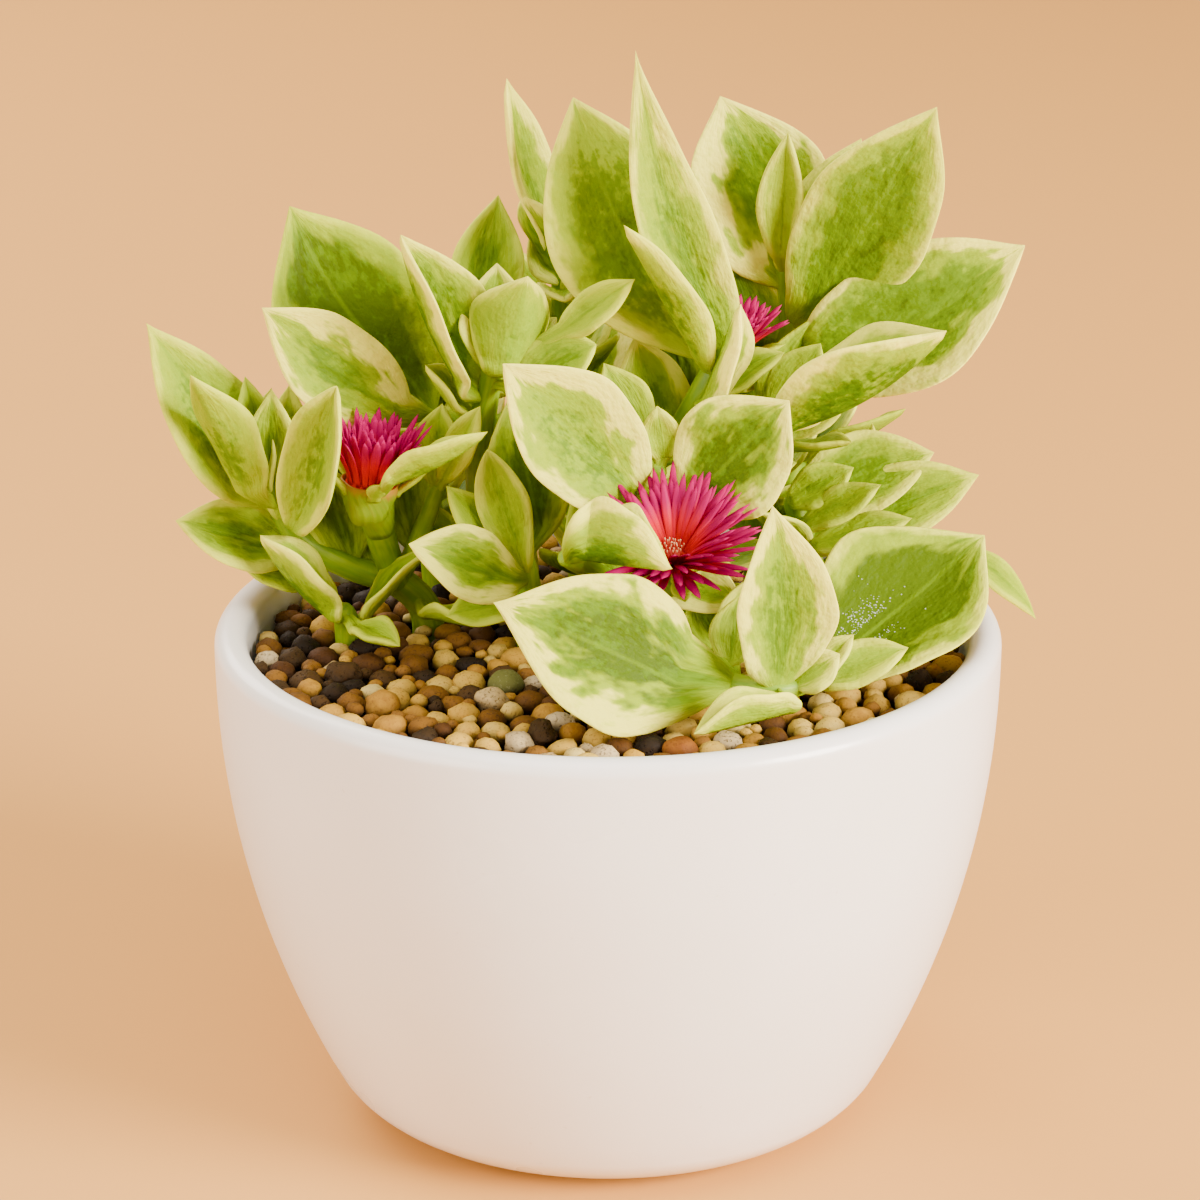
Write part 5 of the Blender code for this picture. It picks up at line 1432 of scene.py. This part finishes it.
def receptacle_material(leaves):
    """The swelling below a bloom: green below, brownish orange at the rim where the petals leave it."""
    material, tree = start_material("receptacle_skin")
    place, _, height, _ = surface(tree, "leaf_place")
    # Spots of 0.7 by 2 mm and streaks of 0.5 by 5 mm.
    spots = patches(tree, place, (1.4, 0.5, 1.0), 3.0)
    streaks = patches(tree, place, (2.2, 0.2, 1.0), 2.0, 50.0)
    level = add_node(tree, "Math", (height, -1.2), operation="ADD")
    level = add_node(tree, "Math", (spots, 2.4, level), operation="MULTIPLY_ADD")
    level = add_node(tree, "MapRange", (level, -1.5, -0.3))
    skin = add_node(tree, "Mix", (streaks, leaves.fresh_green, leaves.pale_green))
    skin = add_node(tree, "Mix", (level, skin, linear("#A87A1C")))
    brown = add_node(tree, "MapRange", (spots, 0.5, 0.75, 0.0, 0.3))
    skin = add_node(tree, "Mix", (brown, skin, linear("#8A5A1C")))
    rough = add_node(tree, "MapRange", (spots, 0.2, 0.8, 0.4, 0.58))
    bump = add_node(tree, "Bump", {"Height": streaks, "Strength": 0.35, "Distance": 0.0002})
    return finish_material(material, {
        "Base Color": skin, "Roughness": rough, "Normal": bump, "IOR": 1.43, "Specular IOR Level": 0.15,
        "Subsurface Weight": 0.1, "Subsurface Radius": (1.0, 0.8, 0.2), "Subsurface Scale": 0.001})


def petal_material(name, blooms, shade):
    """Fresh petal: silky thin skin, magenta towards the tip and orange red at the root, finely streaked."""
    def tone(colour):
        """A colour scaled by this bloom's painted light."""
        return tuple(min(channel * shade, 1.0) for channel in colour)

    material, tree = start_material(name)
    place, share, _, _ = surface(tree, "petal_place")
    # The coordinates are shares of a petal, so these are about two streaks a petal's length and five across.
    streaks = patches(tree, place, (1.6, 2.6, 1.0), 2.0)
    shifted = add_node(tree, "Math", (share, -0.15), operation="ADD")
    shifted = add_node(tree, "Math", (streaks, 0.3, shifted), operation="MULTIPLY_ADD")
    skin = add_node(tree, "ValToRGB", (shifted,), stops=(
        (0.0, tone(blooms.orange)), (0.16, tone(linear("#B01010"))), (0.42, tone(blooms.red)),
        (0.72, tone(blooms.magenta)), (1.0, tone(linear("#98004E")))))
    dark = add_node(tree, "MapRange", (streaks, 0.45, 0.8, 0.0, 0.35))
    skin = add_node(tree, "Mix", (dark, skin, tone(linear("#800038"))))
    rough = add_node(tree, "MapRange", (streaks, 0.2, 0.8, 0.34, 0.5))
    bump = add_node(tree, "Bump", {"Height": streaks, "Strength": 0.4, "Distance": 0.00008})
    return finish_material(material, {
        "Base Color": skin, "Roughness": rough, "Normal": bump, "IOR": 1.4, "Specular IOR Level": 0.06,
        "Subsurface Weight": 0.1, "Subsurface Radius": (1.0, 0.1, 0.3), "Subsurface Scale": 0.0006})


def stamen_material(blooms):
    """Stamens: orange red stalks with mealy cream tips."""
    material, tree = start_material("mealy_stamen")
    place, share, _, _ = surface(tree, "petal_place")
    # The coordinates are shares of a stamen, so the meal lies in patches of a third of its length.
    meal = patches(tree, place, (3.0, 3.0, 1.0), 2.0)
    skin = add_node(tree, "ValToRGB", (share,), stops=(
        (0.0, linear("#B42412")), (0.5, blooms.orange), (0.75, linear("#E08058")), (1.0, blooms.cream)))
    dusted = add_node(tree, "MapRange", (meal, 0.45, 0.8, 0.0, 0.45))
    skin = add_node(tree, "Mix", (dusted, skin, linear("#E8A070")))
    rough = add_node(tree, "MapRange", (meal, 0.2, 0.8, 0.5, 0.7))
    bump = add_node(tree, "Bump", {"Height": meal, "Strength": 0.5, "Distance": 0.00006})
    return finish_material(material, {
        "Base Color": skin, "Roughness": rough, "Normal": bump, "IOR": 1.4, "Subsurface Weight": 0.1,
        "Subsurface Radius": (1.0, 0.5, 0.3), "Subsurface Scale": 0.0006})


def grain_material(name, shades, speck, pits):
    """Dry mineral grit: a matt, slightly dusty skin with specks and pits, and painted shade that darkens its
    lower side.
    """
    material, tree = start_material(name)
    place = surface(tree, "grain_place")[0]
    _, tint, height, _ = surface(tree, "grain_kind")
    # Clouds of 1.4 mm and specks of 0.3 mm.
    clouds = patches(tree, place, (0.7, 0.7, 0.7), 3.0)
    specks = patches(tree, place, (3.2, 3.2, 3.2), 2.0, 12.0)
    pick = add_node(tree, "Math", (tint, -0.25), operation="ADD")
    pick = add_node(tree, "Math", (clouds, 0.5, pick), operation="MULTIPLY_ADD")
    steps = [(number / (len(shades) - 1), shade) for number, shade in enumerate(shades)]
    skin = add_node(tree, "ValToRGB", (pick,), stops=steps)
    speckled = add_node(tree, "MapRange", (specks, 0.56, 0.7, 0.0, 0.6))
    skin = add_node(tree, "Mix", (speckled, skin, linear(speck)))
    # Painted shade: the lower side of each grain is darkened towards near black.
    painted_shade_below = add_node(tree, "MapRange", (height, -0.4, 0.65, 0.85, 0.0))
    skin = add_node(tree, "Mix", (painted_shade_below, skin, linear("#241404")))
    rough = add_node(tree, "MapRange", (clouds, 0.2, 0.8, 0.6, 0.85))
    # The pores are about 0.3 mm wide, and are drawn at 0.55 mm so that they show.
    pores = add_node(tree, "TexVoronoi", {"Vector": place, "Scale": 1 / 0.55})
    hollow = add_node(tree, "MapRange", (pores, 0.1, 0.35))
    bump = add_node(tree, "Bump", {"Height": specks, "Strength": 0.5, "Distance": 0.00012})
    bump = add_node(tree, "Bump", {"Height": hollow, "Strength": pits, "Distance": 0.0003, "Normal": bump})
    return finish_material(material, {
        "Base Color": skin, "Roughness": rough, "Normal": bump, "IOR": 1.5, "Specular IOR Level": 0.2})


def fill_material():
    """Dark grit dust between the grains, its colour painted shade for the gaps."""
    material, tree = start_material("painted_shade_grit_fill")
    place = add_node(tree, "TexCoord", output="Object")
    # Lumps of 2 mm.
    clouds = patches(tree, place, (500, 500, 500), 3.0)
    # The near black is painted shade in the gaps between the grains; the lighter patches vary at random.
    lighter_patches = add_node(tree, "MapRange", (clouds, 0.3, 0.7))
    skin = add_node(tree, "Mix", (lighter_patches, linear("#160C05"), linear("#3A240E")))
    rough = add_node(tree, "MapRange", (clouds, 0.2, 0.8, 0.7, 0.9))
    bump = add_node(tree, "Bump", {"Height": clouds, "Strength": 0.8, "Distance": 0.0008})
    return finish_material(material, {
        "Base Color": skin, "Roughness": rough, "Normal": bump, "IOR": 1.45, "Specular IOR Level": 0.25})


def glaze_material(pot):
    """White satin glaze on cast porcelain: smooth, faintly rippled, with a soft clear gloss."""
    material, tree = start_material("white_satin_glaze")
    place = add_node(tree, "TexCoord", output="Object")
    # Pooling of 22 mm, ripples of 4.5 mm and pinholes of 1 mm.
    clouds = patches(tree, place, (45, 45, 45), 2.0)
    ripple = patches(tree, place, (220, 220, 220), 2.0, 7.0)
    specks = patches(tree, place, (900, 900, 900), 1.0, 3.0)
    pooled = add_node(tree, "MapRange", (clouds, 0.3, 0.7, 0.0, 0.5))
    skin = add_node(tree, "Mix", (pooled, pot.glaze, linear("#EFEAE4")))
    pinholes = add_node(tree, "MapRange", (specks, 0.76, 0.82, 0.0, 0.35))
    skin = add_node(tree, "Mix", (pinholes, skin, linear("#D8CFC4")))
    rough = add_node(tree, "MapRange", (clouds, 0.2, 0.8, 0.26, 0.36))
    bump = add_node(tree, "Bump", {"Height": ripple, "Strength": 0.15, "Distance": 0.0004})
    return finish_material(material, {
        "Base Color": skin, "Roughness": rough, "Normal": bump, "IOR": 1.5, "Coat Weight": 0.35,
        "Coat Roughness": 0.16, "Coat IOR": 1.5, "Subsurface Weight": 0.08,
        "Subsurface Radius": (1.0, 0.95, 0.9), "Subsurface Scale": 0.001})


def dew_material():
    """Beads of water, half clear and half a pale diffuse colour that is a painted glint."""
    material, tree = start_material("water_beads")
    place = surface(tree, "grain_place")[0]
    # Ripples of 0.25 mm.
    ripple = patches(tree, place, (4.0, 4.0, 4.0), 1.0)
    rough = add_node(tree, "MapRange", (ripple, 0.2, 0.8, 0.02, 0.08))
    # The pale diffuse half is a painted glint that makes the beads show as bright dots.
    return finish_material(material, {
        "Base Color": linear("#EEF6DC"), "Roughness": rough, "Transmission Weight": 0.5, "IOR": 1.38})


def backdrop_material(stage):
    """Plain pale paper, with the faintest cloud so that it isn't dead flat."""
    material, tree = start_material("pale_paper")
    place = add_node(tree, "TexCoord", output="Object")
    # Clouds of 11 cm.
    clouds = patches(tree, place, (9, 9, 9), 2.0)
    shade = add_node(tree, "MapRange", (clouds, 0.2, 0.8, 0.0, 0.25))
    darker = tuple(channel * 0.93 for channel in stage.backdrop)
    skin = add_node(tree, "Mix", (shade, stage.backdrop, darker))
    rough = add_node(tree, "MapRange", (clouds, 0.2, 0.8, 0.65, 0.8))
    return finish_material(material, {
        "Base Color": skin, "Roughness": rough, "IOR": 1.45, "Specular IOR Level": 0.2})


def kept(name, make, *settings):
    """A material by name, made the first time that it is asked for."""
    return bpy.data.materials.get(name) or make(*settings)


# The backdrop in metres: its half width, and where its floor bends up into the wall.
BACKDROP_REACH = 4.0
BACKDROP_TOP = 3.0
BEND_START = 1.0
BEND_RADIUS = 0.8
BEND_STEPS = 12
# The soft lamps: their places and widths in metres and their power in watts, all turned towards LAMP_AIM.
LAMP_AIM = (0.0, 0.0, 0.07)
LAMPS = {
    "lamp_right": {"place": (0.72, -0.44, 0.36), "size": 0.45, "energy": 31.0},
    "lamp_left": {"place": (-0.60, -0.40, 0.30), "size": 0.60, "energy": 6.0},
    "lamp_above": {"place": (-0.05, -0.15, 0.80), "size": 0.60, "energy": 3.0},
    "lamp_behind": {"place": (-0.45, 0.60, 0.55), "size": 0.60, "energy": 9.0},
}
# The even light from all round.
AIR_COLOUR = "#FFF3E4"
AIR_STRENGTH = 0.95


def build_backdrop(stage):
    """A wide pale floor that curves up into a wall far behind."""
    line = [(-BACKDROP_REACH, 0.0), (BEND_START, 0.0)]
    for step in range(1, BEND_STEPS + 1):
        turn = step * math.pi / 2 / BEND_STEPS
        line.append((BEND_START + BEND_RADIUS * math.sin(turn), BEND_RADIUS - BEND_RADIUS * math.cos(turn)))
    line.append((BEND_START + BEND_RADIUS, BACKDROP_TOP))
    points = [(side * BACKDROP_REACH, y, z) for y, z in line for side in (-1, 1)]
    faces = [(n * 2, n * 2 + 1, n * 2 + 3, n * 2 + 2) for n in range(len(line) - 1)]
    mesh = bpy.data.meshes.new("backdrop")
    mesh.from_pydata(points, [], faces)
    mesh.polygons.foreach_set("use_smooth", [True] * len(faces))
    mesh.materials.append(kept("pale_paper", backdrop_material, stage))
    put_in_scene("backdrop", mesh)


def add_lamp(name, colour, place, size, energy):
    """One large soft lamp turned towards the plant."""
    lamp = bpy.data.lights.new(name, "AREA")
    lamp.shape = "DISK"
    lamp.size = size
    lamp.energy = energy
    lamp.color = colour
    holder = bpy.data.objects.new(name, lamp)
    bpy.context.scene.collection.objects.link(holder)
    holder.location = place
    holder.rotation_euler = (Vector(LAMP_AIM) - Vector(place)).to_track_quat("-Z", "Y").to_euler()


def build_air():
    """The even light from all round."""
    world = bpy.context.scene.world or bpy.data.worlds.new("studio_air")
    bpy.context.scene.world = world
    world.use_nodes = True
    air = world.node_tree.nodes["Background"]
    air.inputs["Color"].default_value = (*linear(AIR_COLOUR), 1.0)
    air.inputs["Strength"].default_value = AIR_STRENGTH


def build_camera(stage, pot):
    """The camera at the photograph's viewing angle."""
    lens = bpy.data.cameras.new("camera")
    lens.lens = stage.lens
    lens.sensor_width = SENSOR_WIDTH
    lens.shift_x = SHIFT_RIGHT / PHOTO_SIZE
    lens.shift_y = SHIFT_UP / PHOTO_SIZE
    lens.clip_start = 0.01
    holder = bpy.data.objects.new("camera", lens)
    bpy.context.scene.collection.objects.link(holder)
    away = Vector((0.0, -math.cos(stage.elevation), math.sin(stage.elevation)))
    holder.location = Vector((0.0, 0.0, pot.height)) + away * stage.distance
    holder.rotation_euler = (-away).to_track_quat("-Z", "Y").to_euler()
    bpy.context.scene.camera = holder


class SUNROSE_OT_stage(bpy.types.Operator):
    """Set up the pale backdrop, the soft lamps and the camera"""

    bl_idname = "sunrose.stage"
    bl_label = "Stage"

    def execute(self, context):
        stage = context.scene.sunrose_stage
        build_backdrop(stage)
        for name, spec in LAMPS.items():
            add_lamp(name, stage.light, **spec)
        build_air()
        build_camera(stage, context.scene.sunrose_pot)
        return {"FINISHED"}


class SUNROSE_OT_pot(bpy.types.Operator):
    """Turn the white bowl pot"""

    bl_idname = "sunrose.pot"
    bl_label = "Pot"

    def execute(self, context):
        pot = context.scene.sunrose_pot
        glaze = kept("white_satin_glaze", glaze_material, pot)
        piece = turned_piece("glazed_pot", pot_profile(pot), pot.turns, glaze)
        fit_out(piece, "white_glaze", "pot")
        return {"FINISHED"}


def grit_materials(grit):
    """The materials of the grit and of the single stones."""
    makers = {
        "tan": ("fired_loam_tan", (linear("#8E6018"), grit.tan, linear("#CCA844"), linear("#D8C070")),
                "#7C5220", 0.25),
        "brown": ("moist_loam_brown", (linear("#46280A"), grit.brown, linear("#8A5E20")), "#33200C", 0.3),
        "lava": ("crushed_lava", (linear("#1E140A"), grit.lava, linear("#4C3414")), "#1A1008", 0.8),
        "pumice": ("pale_pumice_stone", (linear("#94784A"), grit.pumice, linear("#C8B288")), "#5E4426", 0.8),
        "green": ("mossy_grey_stone", (linear("#4E4E1E"), linear("#6A6C34")), "#8E8C5C", 0.3),
        "orange": ("fired_loam_orange", (linear("#7A4410"), linear("#B47A2A")), "#5A300C", 0.25),
    }
    made = {kind: kept(row[0], grain_material, *row) for kind, row in makers.items()}
    made["fill"] = kept("painted_shade_grit_fill", fill_material)
    return made


class SUNROSE_OT_grit(bpy.types.Operator):
    """Fill the pot with loose mixed grit"""

    bl_idname = "sunrose.grit"
    bl_label = "Grit"

    def execute(self, context):
        grit = context.scene.sunrose_grit
        build_grit(grit, context.scene.sunrose_pot, grit_materials(grit))
        return {"FINISHED"}


class SUNROSE_OT_stones(bpy.types.Operator):
    """Set the single larger stones into the grit"""

    bl_idname = "sunrose.stones"
    bl_label = "Stones"

    def execute(self, context):
        build_stones(grit_materials(context.scene.sunrose_grit))
        return {"FINISHED"}


class SUNROSE_OT_shoots(bpy.types.Operator):
    """Grow the leafy shoots"""

    bl_idname = "sunrose.shoots"
    bl_label = "Leafy shoots"

    def execute(self, context):
        leaves = context.scene.sunrose_leaves
        materials = [kept("variegated_leaf_skin", leaf_material, leaves),
                     kept("green_stem_skin", stem_material, leaves),
                     kept("receptacle_skin", receptacle_material, leaves)]
        taken = taken_places()
        for name, shoot in SHOOTS.items():
            build_shoot(name, shoot, materials, leaves.thickness / MM, leaves.margin / MM, taken)
        return {"FINISHED"}


class SUNROSE_OT_blooms(bpy.types.Operator):
    """Open the magenta blooms"""

    bl_idname = "sunrose.blooms"
    bl_label = "Blooms"

    def execute(self, context):
        blooms = context.scene.sunrose_blooms
        stamen = kept("mealy_stamen", stamen_material, blooms)
        for name, spec in BLOOMS.items():
            # Each bloom gets its own copy of the petal colours, made brighter as painted light by its shade
            # factor.
            petal = petal_material(f"{name}_painted_light_petal_silk", blooms, spec["shade"])
            build_petals(f"{name}_bloom_petals", spec, petal, blooms.petal_layers)
            build_stamens(f"{name}_bloom_stamens", spec, stamen)
        return {"FINISHED"}


class SUNROSE_OT_dew(bpy.types.Operator):
    """Put fine dew on the large shaded leaf"""

    bl_idname = "sunrose.dew"
    bl_label = "Dew"

    def execute(self, context):
        build_dew(kept("water_beads", dew_material), context.scene.sunrose_leaves.thickness / MM)
        return {"FINISHED"}


class SUNROSE_PT_panel(bpy.types.Panel):
    """Lists the pieces of the potted plant with their sizes and colours"""

    bl_idname = "SUNROSE_PT_panel"
    bl_label = "Potted Baby Sunrose"
    bl_space_type = "VIEW_3D"
    bl_region_type = "UI"
    bl_category = "Sunrose"

    def draw(self, context):
        for operator in OPERATORS:
            self.layout.operator(operator.bl_idname)
        for name in SETTINGS:
            box = self.layout.box()
            group = getattr(context.scene, name)
            for setting in group.__annotations__:
                box.prop(group, setting)


OPERATORS = (SUNROSE_OT_stage, SUNROSE_OT_pot, SUNROSE_OT_grit, SUNROSE_OT_stones, SUNROSE_OT_shoots,
             SUNROSE_OT_blooms, SUNROSE_OT_dew)
SETTINGS = {"sunrose_pot": SunrosePotSettings, "sunrose_grit": SunroseGritSettings,
            "sunrose_leaves": SunroseLeafSettings, "sunrose_blooms": SunroseBloomSettings,
            "sunrose_stage": SunroseStageSettings}


def register():
    """Add the settings, the operators and the panel."""
    for name, group in SETTINGS.items():
        bpy.utils.register_class(group)
        setattr(bpy.types.Scene, name, bpy.props.PointerProperty(type=group))
    for made in (*OPERATORS, SUNROSE_PT_panel):
        bpy.utils.register_class(made)


def unregister():
    """Take the settings, the operators and the panel away."""
    for made in (SUNROSE_PT_panel, *reversed(OPERATORS)):
        bpy.utils.unregister_class(made)
    for name, group in reversed(SETTINGS.items()):
        delattr(bpy.types.Scene, name)
        bpy.utils.unregister_class(group)


def main():
    """Build the whole scene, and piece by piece."""
    register()
    bpy.ops.sunrose.stage()
    bpy.ops.sunrose.pot()
    bpy.ops.sunrose.grit()
    bpy.ops.sunrose.stones()
    bpy.ops.sunrose.shoots()
    bpy.ops.sunrose.blooms()
    bpy.ops.sunrose.dew()


if __name__ == "__main__":
    main()
